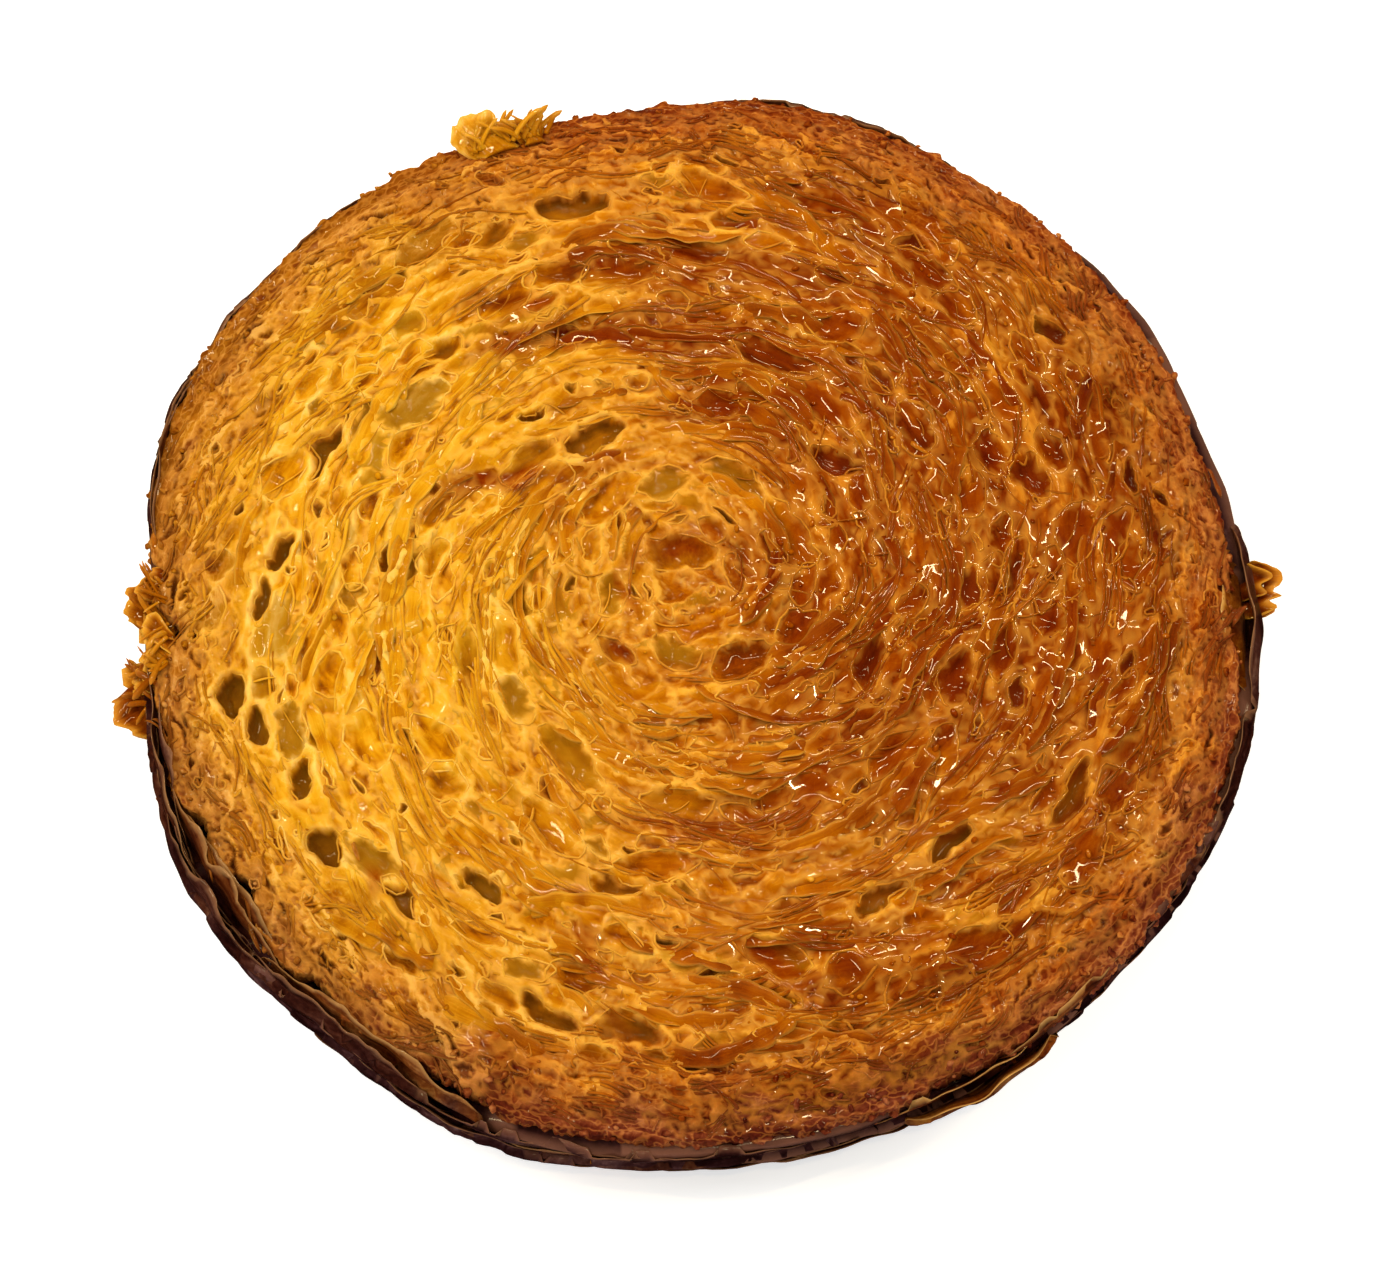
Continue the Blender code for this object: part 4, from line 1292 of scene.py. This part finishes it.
def make_stage():
    """A plain white floor and soft light, bright enough that the floor fades into white."""
    bpy.ops.mesh.primitive_plane_add(size=FLOOR_SIZE, location=(0.0, 0.0, 0.0))
    floor = bpy.context.object
    floor.name = "floor"
    material, _, shader = new_material("white paper")
    plug(shader, {
        "Base Color": "#FFFFFF",
        "Roughness": 0.9,
        "Specular IOR Level": 0.0,
        "Emission Color": "#FFFFFF",
        "Emission Strength": FLOOR_GLOW,
    }.items())
    floor.data.materials.append(material)
    floor.visible_glossy = False

    world = bpy.data.worlds.new("studio")
    bpy.context.scene.world = world
    world.use_nodes = True
    plug(world.node_tree.nodes["Background"].inputs, {"Color": "#FFFFFF", "Strength": ROOM_GLOW}.items())
    world.cycles_visibility.glossy = False

    for name, place, (width, height), power, in_gloss in LAMPS:
        data = bpy.data.lights.new(name, "AREA")
        data.shape = "RECTANGLE"
        data.size, data.size_y, data.energy = width, height, power
        lamp = bpy.data.objects.new(name, data)
        lamp.location = place
        lamp.rotation_euler = (-Vector(place)).to_track_quat("-Z", "Y").to_euler()
        lamp.visible_glossy = in_gloss
        data.color = WARM if in_gloss else (1.0, 1.0, 1.0)
        bpy.context.scene.collection.objects.link(lamp)


def make_camera():
    """Looks down at the disc from the front, as the photograph does."""
    back = Vector((0.0, -math.cos(CAMERA_ELEVATION), math.sin(CAMERA_ELEVATION)))
    data = bpy.data.cameras.new("camera")
    data.lens, data.sensor_width = CAMERA_LENS, CAMERA_SENSOR
    camera = bpy.data.objects.new("camera", data)
    camera.location = Vector(CAMERA_AIM) * MM + CAMERA_DISTANCE * MM * back
    camera.rotation_euler = (-back).to_track_quat("-Z", "Y").to_euler()
    bpy.context.scene.collection.objects.link(camera)
    bpy.context.scene.camera = camera
    bpy.context.scene.view_settings.view_transform = "Standard"


make_camera()
make_stage()
fields = Crumb()
crumb_finish, crust_finish = crumb_material(), crust_material()
pieces = [
    make_crumb(fields, crumb_finish),
    make_crust(fields, crust_finish, crumb_finish),
    make_walls(fields, crumb_finish),
    make_rim_crumbs(fields, crumb_finish),
    make_caramel_beads(fields, crumb_finish),
    make_flake_threads(crumb_finish),
    make_sheets(crust_finish),
    make_flakes(crumb_finish),
]
for number, row in enumerate(STRANDS):
    pieces.append(make_strands(fields, row, crumb_finish, SEEDS["strands"] + 10 * number))
for piece in pieces:
    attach(piece, "root")
    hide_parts("croissant_disc")
